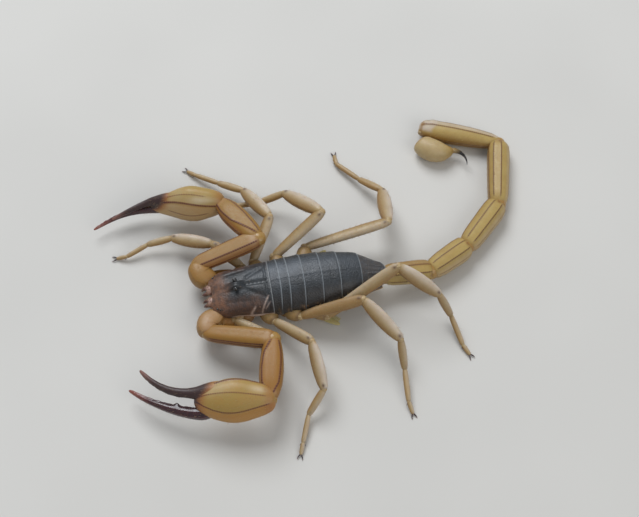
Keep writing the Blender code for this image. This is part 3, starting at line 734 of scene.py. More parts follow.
def tergite(number):
    """One back plate: its front tucks under the plate before, its rear edge is pale and stands proud."""
    near, length = segment(number)
    last = number == 7
    piece, share, across = sheet(f"tergite_{number}", int(10 + 9 * length), 110)
    side = np.abs(across)
    x = near - 0.35 + share * (length + 0.4)
    proud = 0.1 * ramp(0.5, 0.97, share) - 0.16 * (1.0 - ramp(0.0, 0.35 / length + 0.1, share))
    y, z = over_back(x, across, TERGITE_WRAP, proud)
    x = x + share * ((1.1 if last else 0.35) * (1.0 - (y / half_width(x)) ** 2) - 0.75 * last)
    rough = granules(x, y, 0.34, number) * between(share, 0.25, 0.5, 0.9, 0.97)
    relief = 0.07 * bell(y, 0.0, 0.22) + 0.05 * rough
    for spot in (1.15, 2.3) if last else ():
        row = bell(np.abs(y) + 0.12 * (x - near), spot, 0.17) * ramp(0.25, 0.4, share)
        relief = relief + 0.16 * row * (0.4 + 0.6 * granule_row(x, 0.42))
    z = z + relief * (1.0 - ramp(0.75, 1.0, side))

    rim = 0.8 * ramp(1.0 - 0.2 / length, 1.0 - 0.08 / length, share)
    # painted sheen: a painted highlight on the top towards the right side, where the light falls
    bloom = TERGITE_SHEEN[number - 1] * bell(y, 1.9, 1.9)
    patch = ramp(0.62, 0.76, -across) * between(share, 0.4, 0.8, 0.9, 0.97)
    note(piece, rim=rim * (1.0 - 0.7 * ramp(0.52, 0.8, -across)),
         bloom=bloom * (1.0 - 0.35 * ramp(0.5, 1.0, share)),
         shade=np.maximum(ramp(1.8, 4.4, -y), 0.6 * ramp(3.6, 5.2, y)),
         front=np.maximum(0.5 * ramp(0.8, 1.0, side), 0.6 * last),
         fleck=ramp(0.6, 0.8, side),
         hem=0.9 * patch * granules(x, y, 0.5, number + 20))
    curved(piece, x, y + sway(x), z, TERGITE_THICKNESS)
    given(piece, BACK, "slate_cuticle", f"mesosoma_{number}")


def soft_flank():
    """The soft pleated skin between back and belly plates, all along the trunk."""
    stations = []
    for x in FLANK_X:
        rise = float(back_height(x)) - 0.35 - float(belly_height(x))
        stations.append((x, float(half_width(x)) - 0.3, rise / 2.0))
    piece = tube("soft_flank", stations, 16)
    co = read(piece)
    x = co[:, 0]
    high = back_height(x) - 0.4 - 0.7 * (1.0 - ramp(9.0, 11.0, x))
    co[:, 2] += (belly_height(x) + 0.25 + high) / 2.0
    pleat = np.abs(np.sin(co[:, 2] * 5.2 + 0.3 * np.sin(x * 1.3)))
    co[:, 1] = co[:, 1] * (1.0 - 0.018 * pleat) + sway(x)
    stand(piece, co)
    given(piece, FLANK, "belly_cuticle")


def sternite(number):
    """One belly plate, numbers 3 to 7, with a breathing slit near each side on all but the last."""
    near, length = segment(number)
    near, length = (18.3, near + length - 18.3) if number == 4 else (near, length - 0.6 * (number == 7))
    piece, share, across = sheet(f"sternite_{number}", int(8 + 7 * length), 70)
    x = near - 0.2 + share * (length + 0.3)
    proud = 0.1 * ramp(0.5, 1.0, share) - 0.1 * (1.0 - ramp(0.0, 0.2, share))
    half = half_width(x) * 0.9 + proud
    turn = np.radians(STERNITE_WRAP) * across
    y = half * np.sign(np.sin(turn)) * np.abs(np.sin(turn)) ** 0.8
    z = BELLY_EDGE - (BELLY_EDGE - belly_height(x) + proud) * np.abs(np.cos(turn)) ** 0.62
    if number < 7:
        slit = bell(np.abs(y), 0.62 * half, 0.42, 4) * bell((share - 0.5) * length, 0.0, 0.17)
        z = z + 0.1 * slit
    else:
        slit = bell(np.abs(y), 1.1, 0.14) * 0.5
        z = z - 0.08 * slit
    note(piece, keel=slit, shade=0.4 * ramp(0.6, 1.0, np.abs(across)),
         pale=ramp(1.0 - 0.3 / length, 1.0, share))
    curved(piece, x, y + sway(x), z, STERNITE_THICKNESS, flipped=True)
    given(piece, BELLY, "belly_cuticle", f"mesosoma_{number}")


def eyes():
    for side in SIDES:
        piece = ball(f"median_eye_{side}", mirrored(EYE_SPOT, side), EYE_HALVES, 32, 20)
        stand(piece, read(piece))
        given(piece, LENS, "eye_lens", f"eye_{side}")
    spots = [(mirrored((x, y, 6.1 + 0.1 * x), side), (size,) * 3)
             for side in SIDES for x, y, size in SIDE_EYES]
    beads("side_eyes", spots, LENS, "eye_lens", 16, 10)


def coxa(number, side):
    """A leg's fixed first piece: a wedge from the breast to the leg's joint."""
    inner, joint = (mirrored(spot, side) for spot in LEGS[number][:2])
    wide = LEGS[number][2]
    length = (joint - inner).length
    stations = [(0.0, 0.4, 0.35), (0.3, wide * 0.72, 0.75), (length * 0.4, wide * 0.9, 1.0),
                (length * 0.75, wide, 1.25), (length, wide, 1.45), (length + 1.2, wide * 0.95, 1.4),
                (length + 1.9, wide * 0.7, 1.0), (length + 2.1, 0.6, 0.5)]
    piece = tube(f"coxa_{number}_{side}", stations)
    keeled(piece, both(150.0, 0.07, 0.16, 0.4, 0.1, 0.95, 0.5))
    x, _, z = read(piece).T
    note(piece, shade=0.5 - 0.3 * ramp(-0.5, 0.8, z), joint=0.6 * ramp(length * 0.85, length, x))
    lay(piece, [inner, joint + (joint - inner).normalized() * 2.1], UP)
    given(piece, BELLY, "belly_cuticle", "prosoma_underside")


def breast():
    """Sternum, the two genital plates, and the coxae of the pincers reaching forward to the mouth."""
    rings = [(6.4, 0.3, 0.3), (6.7, 0.8, 0.45), (8.3, 1.3, 0.5), (9.4, 1.35, 0.45), (9.7, 0.7, 0.3)]
    pieces = [tube("sternum", rings)]
    co = read(pieces[0])
    co[:, 2] += 2.35 + 0.16 * bell(co[:, 1], 0.0, 0.3) * (co[:, 2] < 0)
    write(pieces[0], co)
    rings = [(10.0, 0.3, 0.25), (10.3, 0.8, 0.4), (11.4, 1.0, 0.42), (12.3, 0.8, 0.4), (12.7, 0.3, 0.2)]
    for side in SIDES:
        pieces.append(tube("genital", rings))
        write(pieces[-1], read(pieces[-1]) + (0.0, 0.95 * SIDES[side], 2.2))
    piece = joined("breast_plates", pieces)
    stand(piece, read(piece))
    given(piece, BELLY, "belly_cuticle", "prosoma_underside")
    rings = [(0.0, 0.7, 0.5), (0.6, 2.0, 0.95), (3.4, 2.65, 1.15), (6.2, 2.4, 1.3), (8.2, 1.6, 1.35),
             (8.8, 0.8, 0.8)]
    for side in SIDES:
        piece = tube(f"pincer_coxa_{side}", rings, 14)
        note(piece, shade=0.85 - 0.35 * ramp(-0.4, 0.8, read(piece)[:, 2]))
        lay(piece, [mirrored(spot, side) for spot in PINCER_COXA_PATH], UP)
        given(piece, PALP, "belly_cuticle", "prosoma_underside")


def comb(side):
    """A pecten: a jointed blade with a row of small teeth on its rear edge."""
    outward = float(SIDES[side])
    rings = [(0.0, 0.5, 0.2), (0.3, 0.9, 0.3), (3.0, 1.0, 0.3), (6.5, 0.75, 0.26), (8.8, 0.45, 0.2),
             (COMB_LENGTH, 0.15, 0.1)]
    pieces = [tube("comb_blade", rings)]
    keeled(pieces[0], [((90.0 * outward,), 0.05, 0.3, 0.34, 0.05, 0.97, 0.3)])
    for i in range(COMB_TEETH):
        share = (i + 0.5) / COMB_TEETH
        reach = 1.0 - 0.45 * share
        tooth = tube("tooth", [(0.0, 0.13, 0.2), (0.3, 0.16, 0.2), (0.85 * reach + 0.3, 0.14, 0.15),
                               (reach + 0.35, 0.06, 0.07)], 6, 1)
        x, y, z = read(tooth).T
        along = 0.35 + share * (COMB_LENGTH - 0.9) + y + 0.25 * x
        write(tooth, np.stack([along, -outward * (0.55 * (1.0 - 0.4 * share) + x), z], axis=1))
        pieces.append(tooth)
    piece = joined(f"comb_{side}", pieces)
    turn_faces(piece, bpy.ops.mesh.normals_make_consistent)
    note(piece, shade=0.3, pale=ramp(0.9, 1.6, np.abs(read(piece)[:, 1])))
    path = []
    for share in (0.0, 0.33, 0.66, 1.0):
        heading = math.radians(62.0 - 16.0 * share)
        way = Vector((math.cos(heading), math.sin(heading) * outward, -0.35 * share / COMB_LENGTH))
        path.append(mirrored(COMB_START, side) + way * (COMB_LENGTH * share))
    lay(piece, path, UP)
    given(piece, COMB, "comb_cuticle", f"pecten_{side}")


def jaw(side):
    """A chelicera: a swollen base, a fixed finger and a movable one that crosses it."""
    root, front = mirrored((1.0, 1.35, 5.45), side), mirrored((-0.75, 1.2, 5.3), side)
    rings = [(0.0, 0.8, 0.8), (0.3, 1.05, 1.0), (1.0, 1.16, 1.08), (1.6, 1.0, 0.95), (1.85, 0.6, 0.6)]
    pieces = [tube("jaw_base", rings)]
    x, y, z = read(pieces[0]).T
    note(pieces[0], pale=0.5 * ramp(0.2, 0.9, z), shade=0.6 - 0.5 * ramp(-0.4, 0.6, z),
         keel=0.9 * granules(x * 1.2, y * 1.4, 0.55, 3) * ramp(0.6, 1.2, x))
    lay(pieces[0], [root, front], UP)
    rings = [(0.0, 0.42, 0.5), (0.5, 0.42, 0.48), (1.1, 0.3, 0.36), (1.6, 0.12, 0.14), (1.72, 0.05, 0.05)]
    for offset, drop, spread in ((0.4, 0.0, 0.15), (-0.36, -0.2, -0.2)):
        digit = tube("digit", rings, 10)
        x, y, z = read(digit).T
        z = z - 0.1 * bell(z, -0.3, 0.2) * granule_row(x, 0.42)
        write(digit, np.stack([x, y, z], axis=1))
        note(digit, shade=ramp(0.0, 0.8, x),
             keel=0.75 * ramp(0.5, 1.1, x) * (0.45 + 0.55 * granule_row(y, 0.3)))
        spots = ((0.5, offset, drop), (-0.45, offset + spread, drop - 0.2), (-0.95, offset, drop - 0.75))
        lay(digit, [front + mirrored(spot, side) for spot in spots], UP)
        pieces.append(digit)
    return given(joined(f"jaw_{side}", pieces), JAW, "amber_cuticle", f"chelicera_{side}")


# ---------------------------------------------------------------- legs

# half width and half height along each piece, as shares of its length
FEMUR_SHAPE = ((-0.02, 0.4, 0.45), (0.02, 0.7, 0.78), (0.1, 0.84, 0.98), (0.35, 0.86, 1.12),
               (0.68, 0.88, 1.25), (0.88, 0.86, 1.2), (0.97, 0.8, 1.02), (1.02, 0.62, 0.75),
               (1.03, 0.36, 0.44))
PATELLA_SHAPE = ((-0.02, 0.3, 0.35), (0.01, 0.56, 0.7), (0.06, 0.76, 1.0), (0.22, 0.9, 1.34),
                 (0.48, 0.98, 1.52), (0.74, 0.93, 1.4), (0.91, 0.8, 1.05), (0.985, 0.7, 0.85),
                 (1.01, 0.52, 0.62), (1.02, 0.3, 0.34))
TIBIA_SHAPE = ((-0.02, 0.28, 0.32), (0.02, 0.48, 0.56), (0.12, 0.6, 0.76), (0.45, 0.65, 0.86),
               (0.8, 0.6, 0.74), (0.96, 0.55, 0.64), (1.01, 0.44, 0.5), (1.02, 0.24, 0.28))
BASITARSUS_SHAPE = ((-0.02, 0.22, 0.26), (0.03, 0.42, 0.48), (0.2, 0.5, 0.56), (0.6, 0.5, 0.56),
                    (0.93, 0.46, 0.5), (1.01, 0.38, 0.42), (1.02, 0.2, 0.22))
TELOTARSUS_SHAPE = ((-0.03, 0.2, 0.22), (0.05, 0.36, 0.4), (0.3, 0.42, 0.46), (0.7, 0.4, 0.44),
                    (0.95, 0.3, 0.34), (1.02, 0.14, 0.16))
LEG_KEELS = both(150.0, 0.05, 0.12, 0.34, 0.06, 0.95, 0.5) + both(32.0, 0.03, 0.12, 0.5, 0.08, 0.94, 0.12)
# each length of a leg: its name, the solid it stands for, its shape and keels, how dark the spots by its
# far joint are, and how strong the painted highlight along its back is
LEG_PARTS = (("femur", "femur", FEMUR_SHAPE, LEG_KEELS, 0.95, 0.4),
             ("patella", "patella", PATELLA_SHAPE, LEG_KEELS, 1.0, 1.0),
             ("tibia", "foot", TIBIA_SHAPE, (), 0.3, 0.5),
             ("basitarsus", "foot", BASITARSUS_SHAPE, (), 0.2, 0.5),
             ("telotarsus", "foot", TELOTARSUS_SHAPE, (), 0.0, 0.5))


def leg_piece(name, shape, near, far, hinge, size, solid, keels, spot, pale, painted_shadow):
    """One length of leg between two joints, deepest in the knee's plane, with dark spots by its far joint."""
    length = (far - near).length
    piece = tube(name, stretched(shape, length, size))
    keeled(piece, keels)
    co = read(piece)
    turn, from_end = turn_of(co), length - co[:, 0]
    knuckle = bell(from_end, 0.55, 0.36) * bell(np.abs(turn), 52.0, 21.0) * spot
    co[:, 1:] *= (1.0 + 0.06 * knuckle)[:, None]
    write(piece, co)
    # pale is a painted highlight along the leg's back; the painted shadow takes it away and browns the length
    # as painted shade
    note(piece, joint=np.maximum(knuckle, 0.3 * bell(from_end, 0.0, 0.16)),
         pale=pale * (1.0 - painted_shadow) * bell(turn, 0.0, 62.0) * ramp(0.0, 0.12, co[:, 0] / length),
         shade=np.maximum(ramp(60.0, 165.0, np.abs(turn)) * 0.85, painted_shadow))
    lay(piece, [near, far], (far - near).cross(hinge))
    return given(piece, LEG, "straw_cuticle", solid)


def claws(number, side, heel, toe):
    """A foot's two curved claws, and the short spurs at the base of its last length."""
    along = (toe - heel).normalized()
    across = UP.cross(along).normalized()
    rings = [(0.0, 0.14, 0.15), (0.3, 0.15, 0.16), (0.8, 0.1, 0.11), (1.15, 0.03, 0.03)]
    pieces = []
    for sign in (-1.0, 1.0):
        hook = tube("hook", rings, 8, 1)
        path = [toe + along * ahead + across * (aside * sign) + UP * lift
                for ahead, aside, lift in ((-0.1, 0.12, 0.0), (0.5, 0.42, 0.12), (1.05, 0.5, 0.0))]
        path[-1].z = CLAW_TIP_HEIGHT
        lay(hook, path, UP)
        spur = tube("spur", [(0.0, 0.09, 0.09), (0.3, 0.07, 0.07), (0.6, 0.02, 0.02)], 6, 1)
        root = heel + along * 0.15 + across * (0.3 * sign) - UP * 0.2
        lay(spur, [root, root + (along * 0.5 + across * (0.3 * sign) - UP * 0.15)], UP)
        pieces += [hook, spur]
    piece = joined(f"claws_{number}_{side}", pieces)
    given(piece, HORN, "mahogany_cuticle", f"leg_{number}_foot_{side}")


def leg(number, side):
    _, hip, _, size, lengths = LEGS[number]
    joints = chain(mirrored(hip, side), lengths, LEG_POSES[number, side])
    joints[-1].z = FOOT_HEIGHT
    base, turn, knee, shin, _, pad, toe = joints
    hinge = (knee - turn).cross(shin - knee).normalized()
    length = (turn - base).length
    rings = ((0.0, 1.5, 1.35), (0.5, 1.8, 1.55), (length * 0.7, 1.65, 1.45), (length, 1.1, 1.05),
             (length + 0.25, 0.6, 0.55))
    stub = tube(f"leg_{number}_trochanter_{side}",
                [(-0.2, 0.8, 0.8)] + [(x, wide * size, high * size) for x, wide, high in rings])
    co = read(stub)
    note(stub, shade=0.45 + 0.5 * ramp(60.0, 170.0, np.abs(turn_of(co))),
         joint=0.5 * bell(co[:, 0], length, 0.25))
    lay(stub, [base, turn], UP)
    shown = [given(stub, LEG, "straw_cuticle", f"leg_{number}_femur_{side}")]
    for (part, solid, shape, keels, spot, pale), near, far in zip(LEG_PARTS, joints[1:], joints[2:]):
        name, solid = f"leg_{number}_{part}_{side}", f"leg_{number}_{solid}_{side}"
        # painted shadow on the one femur that lies in shade
        painted_shadow = FEMUR_SHADOW if part == "femur" and (number, side) == SHADOWED_FEMUR else 0.0
        shown.append(leg_piece(name, shape, near, far, hinge, size, solid, keels, spot, pale, painted_shadow))
    claws(number, side, pad, toe)
    cuffs = [(spot, (cuff * size,) * 3) for spot, cuff in zip(joints[1:], CUFF_SIZES)]
    beads(f"leg_{number}_joints_{side}", cuffs, MEMBRANE, "straw_cuticle", 16, 10)
    return shown


# ---------------------------------------------------------------- pincers

FEMUR_ARM = ((-0.07, 0.7, 0.7), (-0.05, 1.2, 1.15), (0.01, 1.55, 1.45), (0.1, 1.7, 1.55), (0.3, 1.84, 1.62),
             (0.55, 1.95, 1.7), (0.8, 1.95, 1.72), (0.95, 1.8, 1.62), (1.02, 1.45, 1.4), (1.05, 0.9, 0.9))
PATELLA_ARM = ((-0.07, 0.7, 0.7), (-0.04, 1.25, 1.2), (0.06, 1.7, 1.55), (0.28, 2.25, 1.85),
               (0.55, 2.42, 2.02), (0.8, 2.15, 1.92), (0.93, 1.65, 1.55), (0.99, 1.3, 1.2),
               (1.02, 0.75, 0.75))
PALM_SHAPE = ((-1.0, 0.8, 0.7), (-0.85, 1.5, 1.2), (-0.4, 2.1, 1.6), (0.6, 2.7, 1.95), (2.6, 3.4, 2.3),
              (5.0, 4.1, 2.65), (7.4, 4.2, 2.72), (9.6, 3.65, 2.4), (11.3, 3.0, 2.0), (12.6, 2.15, 1.5),
              (13.4, 1.2, 1.0), (13.7, 0.5, 0.45))
ARM_KEELS = {
    ("femur", "right"): (beaded((50, 55, 55)), beaded((-34, -36, -36), 0.12, 0.15), beaded((-84, -84), 0.09),
                         beaded((-135,)), beaded((130,))),
    ("femur", "left"): (beaded((48, 50, 52), 0.08, darkness=0.25), beaded((-62, -64, -60)),
                        beaded((-82, -84), 0.13, 0.2), beaded((-130,)), beaded((130,))),
    ("patella", "right"): (beaded((-14, 18, 42, 46, 40), 0.15, 0.17), beaded((-30, -38, -40), 0.07, 0.11),
                           beaded((76, 74, 72), 0.1), beaded((130,)), beaded((-125,))),
    ("patella", "left"): (beaded((-8, -44, -50, -46, -12), 0.15, 0.18),
                          beaded((40, 50, 48, 42, 8), 0.13, 0.17), beaded((-80, -84), 0.08),
                          beaded((130,)), beaded((-130,))),
}
UNDER_PALM_KEELS = (beaded((-45, -40), 0.1, 0.15), beaded((0, 5), 0.06), beaded((50, 60), 0.1, 0.15))
PALM_KEELS = {
    "right": (beaded((166, 159, 152, 144, 136, 130, 126, 122, 118), 0.17, 0.17, 0.42, 0.05, 0.99),
              beaded((120, 112, 106, 100), 0.06, 0.1, 0.5, 0.2, 0.82, 0.7),
              beaded((-165, -160, -157, -157, -162, -172, -184, -190, -190), 0.09, 0.11, 0.42, 0.2, 0.74,
                     0.9),
              beaded((-100, -95), 0.08, 0.15)) + UNDER_PALM_KEELS,
    "left": (beaded((84, 92, 97, 99, 98), 0.2, 0.24, 0.42, 0.14, 0.99),
             beaded((150, 142, 137, 135, 134), 0.07, 0.11, 0.42, 0.1, 0.97, 0.75),
             beaded((-176, -166, -157, -150, -146, -146, -151, -166, -200), 0.1, 0.12, 0.4, 0.06, 0.98),
             beaded((-92, -92), 0.05, 0.15, 0.5, 0.05, 0.9, 0.3)) + UNDER_PALM_KEELS,
}
# which keel parts the palm's olive face from its amber one
BORDER_KEEL = {"right": 0, "left": 2}


def arm(part, side, near, far, stations):
    length = (far - near).length
    piece = tube(f"pincer_{part}_{side}", denser(stretched(stations, length)), 14, 3)
    boxed(piece, 2.9)
    keeled(piece, ARM_KEELS[part, side])
    co = read(piece)
    turn, x = turn_of(co), co[:, 0]
    lower, base, pink = {
        ("femur", "right"): (ramp(38, 54, -turn), 0.0, 0.3),
        ("femur", "left"): (0.4 * ramp(62, 80, -turn), 0.2, 0.0),
        ("patella", "right"): (ramp(44, 62, turn), 0.0, 0.0),
        ("patella", "left"): (0.4 * ramp(56, 76, np.abs(turn)), 0.45, 0.0)}[part, side]
    note(piece, shade=np.maximum(np.maximum(lower, ramp(110.0, 150.0, np.abs(turn))), base),
         joint=0.36 * bell(length - x, 0.1, 0.35) + 0.24 * bell(x, 0.0, 0.4),
         pale=pink + 0.35 * bell(x / length, 0.93, 0.05) * bell(turn, 0.0, 60.0))
    lay(piece, [near, far], UP)
    return given(piece, PALP, "amber_cuticle", f"pedipalp_{part}_{side}")


def hooked(root, tip, near, far, power, hand):
    """A finger's centre line: it runs along the palm's axis and hooks towards the body's middle."""
    wrist, axis, inward, lift = hand[:4]
    points = []
    for i in range(7):
        share = i / 6.0
        aside, above = (root[k] + (tip[k] - root[k]) * share**power for k in (0, 1))
        points.append(wrist + axis * (near + (far - near) * share) + inward * aside + lift * above)
    return points


def pincer(side):
    """A pedipalp from its second piece to its fingers."""
    hinge = mirrored(PALP_HINGE, side)
    _, elbow, wrist = chain(hinge, PALP_LENGTHS, PALP_POSES[side])
    spots = [mirrored(spot, side) for spot, _ in PALP_TROCHANTER]
    stations = measured(spots, [(size, size * 0.95) for _, size in PALP_TROCHANTER])
    neck = tube(f"pincer_trochanter_{side}", stations, 14, 3)
    boxed(neck, 2.5)
    keeled(neck, [beaded((50,), 0.08, darkness=0.3), beaded((-50,), 0.1, darkness=0.35),
                  beaded((0,), 0.05, 0.12, 0.5, 0.1, 0.9, 0.1)])
    co = read(neck)
    turn, end = turn_of(co), stations[-1][0]
    note(neck, shade=0.15 + 0.6 * ramp(70.0, 140.0, np.abs(turn)),
         joint=0.35 * ramp(end - 0.5, end, co[:, 0]),
         pale=0.4 * bell(turn, 0.0, 55.0) * (1.8 if side == "left" else 0.4))
    lay(neck, spots, UP)
    shown = [given(neck, PALP, "amber_cuticle", f"pedipalp_trochanter_{side}"),
             arm("femur", side, hinge, elbow, FEMUR_ARM), arm("patella", side, elbow, wrist, PATELLA_ARM)]

    axis = towards(*PALM_POSES[side])
    inward = UP.cross(axis).normalized()
    inward = inward if inward.y * SIDES[side] < 0.0 else -inward
    palm_up = axis.cross(inward)
    palm_up = palm_up if palm_up.z > 0.0 else -palm_up
    depth_angle = math.radians(PALM_DEPTH_ANGLE[side])
    depth_way = inward * math.cos(depth_angle) + palm_up * math.sin(depth_angle)
    hand = (wrist, axis, inward, palm_up, depth_way, depth_way.cross(axis))
    shown += [palm(side, hand), movable_finger(side, hand)]
    cuffs = [(hinge, (1.3, 1.3, 1.2)), (elbow, (1.5, 1.5, 1.35)), (wrist, (1.3, 1.3, 1.2))]
    beads(f"pincer_joints_{side}", cuffs, DOME, "amber_cuticle")
    return shown


def hardened(piece, run, pale, shade, lead):
    """Notes for the hand: where it turns orange and then dark towards the fingers, first on their side."""
    front = run + lead * np.cos(np.radians(turn_of(read(piece)) - 90.0)) + 0.8 * noted(piece, "keel")
    tinge = ramp(PALM_LENGTH - 3.6, PALM_LENGTH - 1.4, front)
    note(piece, shade=np.clip(shade, 0.0, 1.0), pale=pale * (1.0 - tinge),
         joint=np.clip(0.5 * bell(run, -1.0, 1.1) + 0.85 * tinge, 0.0, 1.0),
         horn=0.94 * ramp(PALM_LENGTH - 2.4, PALM_LENGTH - 0.6, front))


def finger(name, centres, halves, slim, sides, keels):
    """A finger's shell along its centre line, closed by a small round tip, and its length."""
    centres.append(centres[-1] + (centres[-1] - centres[-2]).normalized() * 0.25)
    halves = [(wide * slim, high * slim) for wide, high in halves] + [(0.12, 0.1)]
    stations = measured(centres, halves)
    piece = tube(name, stations, sides, 3)
    keeled(piece, keels)
    return piece, stations[-1][0]


def palm(side, frame_of_hand):
    """The swollen hand with its keels, and the fixed finger that grows out of it."""
    wrist, axis, inward, palm_up, _, up = frame_of_hand
    reach = PALM_SHAPE[0][0]
    stations = []
    for x, depth, thick in PALM_SHAPE:
        slim = 1.0 - (1.0 - PALM_FRONT_SHARE[side]) * float(ramp(4.0, 11.5, x))
        stations.append((x - reach, depth * slim, thick * slim))
    hand = tube("hand", denser(stations), 16, 3)
    keeled(hand, PALM_KEELS[side])
    co = read(hand)
    full = (turn_of(co) + 360.0) % 360.0
    run = co[:, 0] + reach
    turns = PALM_KEELS[side][BORDER_KEEL[side]][0]
    border = np.interp(co[:, 0] / co[:, 0].max(), np.linspace(0.0, 1.0, len(turns)), turns) % 360.0
    if side == "right":
        shade = 0.62 * ramp(-2.0, 9.0, full - border) * (1.0 - ramp(300.0, 350.0, full))
        painted_lower_light = ramp(4.0, 16.0, full - border) * (1.0 - ramp(240.0, 300.0, full))
        # a painted highlight near the wrist above the strong keel, and painted light that lightens the lower
        # face
        pale = 0.35 * bell(full, 110.0, 30.0) * ramp(4.0, 8.0, run)
        pale = pale + bell(full, 130.0, 15.0) * bell(run, 3.0, 2.4) + 0.38 * painted_lower_light
        lead, delay, early = 2.0, 0.3, 0.9
    else:
        shade = 0.1 + 0.8 * ramp(-2.0, 10.0, full - border) * (1.0 - 0.6 * ramp(300.0, 350.0, full))
        pale = 0.35 * bell(full, 118.0, 26.0) * ramp(5.0, 10.0, run)
        pale = pale + 0.9 * bell(full, 122.0, 13.0) * bell(run, 1.9, 1.5)
        lead, delay, early = 0.4, 0.9, 0.0
    hardened(hand, run - delay, pale, shade, lead)
    lay(hand, [wrist + axis * reach, wrist + axis * PALM_SHAPE[-1][0]], up)

    root = inward * FIXED_ROOT[side][0] + palm_up * FIXED_ROOT[side][1]
    path = hooked(FIXED_ROOT[side], FIXED_TIP[side], PALM_LENGTH - 0.4, FIXED_REACH[side], FIXED_BEND[side],
                  frame_of_hand)
    centres = [wrist + axis * (FINGER_START + ahead) + root * share
               for ahead, share in ((0, 0.5), (2.2, 0.78), (3.8, 0.95))] + path
    thick = [0.84 - 0.56 * (i / 6.0) ** 1.25 + 0.2 * (i == 0) for i in range(len(path))]
    halves = [(3.0, 2.1), (2.65, 1.85), (1.8, 1.4)] + [(1.12 * k, k) for k in thick]
    fixed, length = finger("finger", centres, halves, FINGER_SHARE[side], 14, [
        ((90.0,), 0.05, 0.12, 0.5, 0.3, 0.95, 0.3), ((-90.0,), 0.09, 0.14, 0.42, 0.42, 0.99, 0.3),
        ((-90.0,), 0.08, 0.14, 1.9, 0.42, 0.97, 0.3)])
    x = read(fixed)[:, 0]
    hardened(fixed, x + FINGER_START + early, 0.25 * (1.0 - ramp(2.0, 4.0, x)), 0.4, 0.9)
    note(fixed, tip=0.8 * ramp(length * 0.74, length, x))
    lay(fixed, centres, up)
    return given(joined(f"pincer_hand_{side}", [hand, fixed]), PALM, "amber_cuticle", f"pedipalp_palm_{side}")


def movable_finger(side, frame_of_hand):
    """The finger that closes: broad where it is hinged into the palm, with a blunt tooth near its base."""
    wrist, axis, _, _, depth_way, up = frame_of_hand
    path = hooked(MOVABLE_ROOT[side], MOVABLE_TIP[side], PALM_LENGTH - 1.5, MOVABLE_REACH[side], MOVABLE_BEND,
                  frame_of_hand)
    sunk = MOVABLE_SUNK[side]
    centres = [wrist + axis * (PALM_LENGTH - 5.2) + depth_way * (sunk - 0.6),
               wrist + axis * (PALM_LENGTH - 3.2) + depth_way * sunk]
    centres += [point + depth_way * 0.48 * (1.0 - float(ramp(0, 4, i))) for i, point in enumerate(path)]
    halves = [(0.7, 0.6), (1.15, 1.0), (1.35, 1.12)]
    halves += [(1.1 * k, k) for k in (0.98, 0.86, 0.72, 0.56, 0.42, 0.26)]
    slim = FINGER_SHARE[side]
    piece, _ = finger(f"pincer_finger_{side}", centres, halves, slim, 12, [
        ((90.0,), 0.09, 0.14, 0.42, 0.3, 0.99, 0.3), ((90.0,), 0.09, 0.17, 1.9, 0.32, 0.97, 0.3),
        ((-90.0,), 0.06, 0.25, 0.5, 0.1, 0.98, 0.9), *both(150.0, 0.05, 0.15, 0.5, 0.1, 0.9, 0.5)])
    co = read(piece)
    co[:, 1] += 0.4 * bell(co[:, 0], 9.0, 0.5) * bell(turn_of(co), 90.0, 34.0)
    write(piece, co)
    lay(piece, centres, up)
    rings = ((0.0, 0.9, 0.8), (0.2, 1.36, 1.12), (0.5, 1.44, 1.18), (0.7, 1.3, 1.05), (0.8, 0.9, 0.7))
    collar = tube(f"finger_collar_{side}", [(x, wide * slim, high * slim) for x, wide, high in rings])
    drawn_back = depth_way * COLLAR_SUNK[side]
    lay(collar, [centres[2] - axis - drawn_back, centres[3] - axis * 0.7 - drawn_back], up)
    given(collar, MEMBRANE, "amber_cuticle")
    return given(piece, HORN, "mahogany_cuticle", f"pedipalp_finger_{side}")


# ---------------------------------------------------------------- tail

TAIL_SHAPE = ((-0.02, 0.5), (0.0, 0.7), (0.05, 0.84), (0.22, 0.95), (0.5, 1.0), (0.75, 1.03), (0.9, 1.0),
              (0.97, 0.9), (1.01, 0.72), (1.03, 0.45))
LAST_SHAPE = ((-0.02, 0.36), (0.0, 0.52), (0.05, 0.64), (0.18, 0.78), (0.42, 0.92), (0.7, 0.96), (0.88, 0.88),
              (0.97, 0.76), (1.02, 0.58), (1.04, 0.36))
TAIL_ROWS = {1: (30.0, 74.0, 118.0, 158.0), 4: (30.0, 60.0, 99.0, 158.0), 5: (7.0, 97.0, 140.0, 180.0)}


def tail_joints():
    points = [TAIL_START]
    for length, heading, height in zip(TAIL_LENGTHS, TAIL_HEADINGS, TAIL_HEIGHTS):
        drop = height - points[-1].z
        points.append(points[-1] + towards(heading) * math.sqrt(length * length - drop * drop) + UP * drop)
    return points


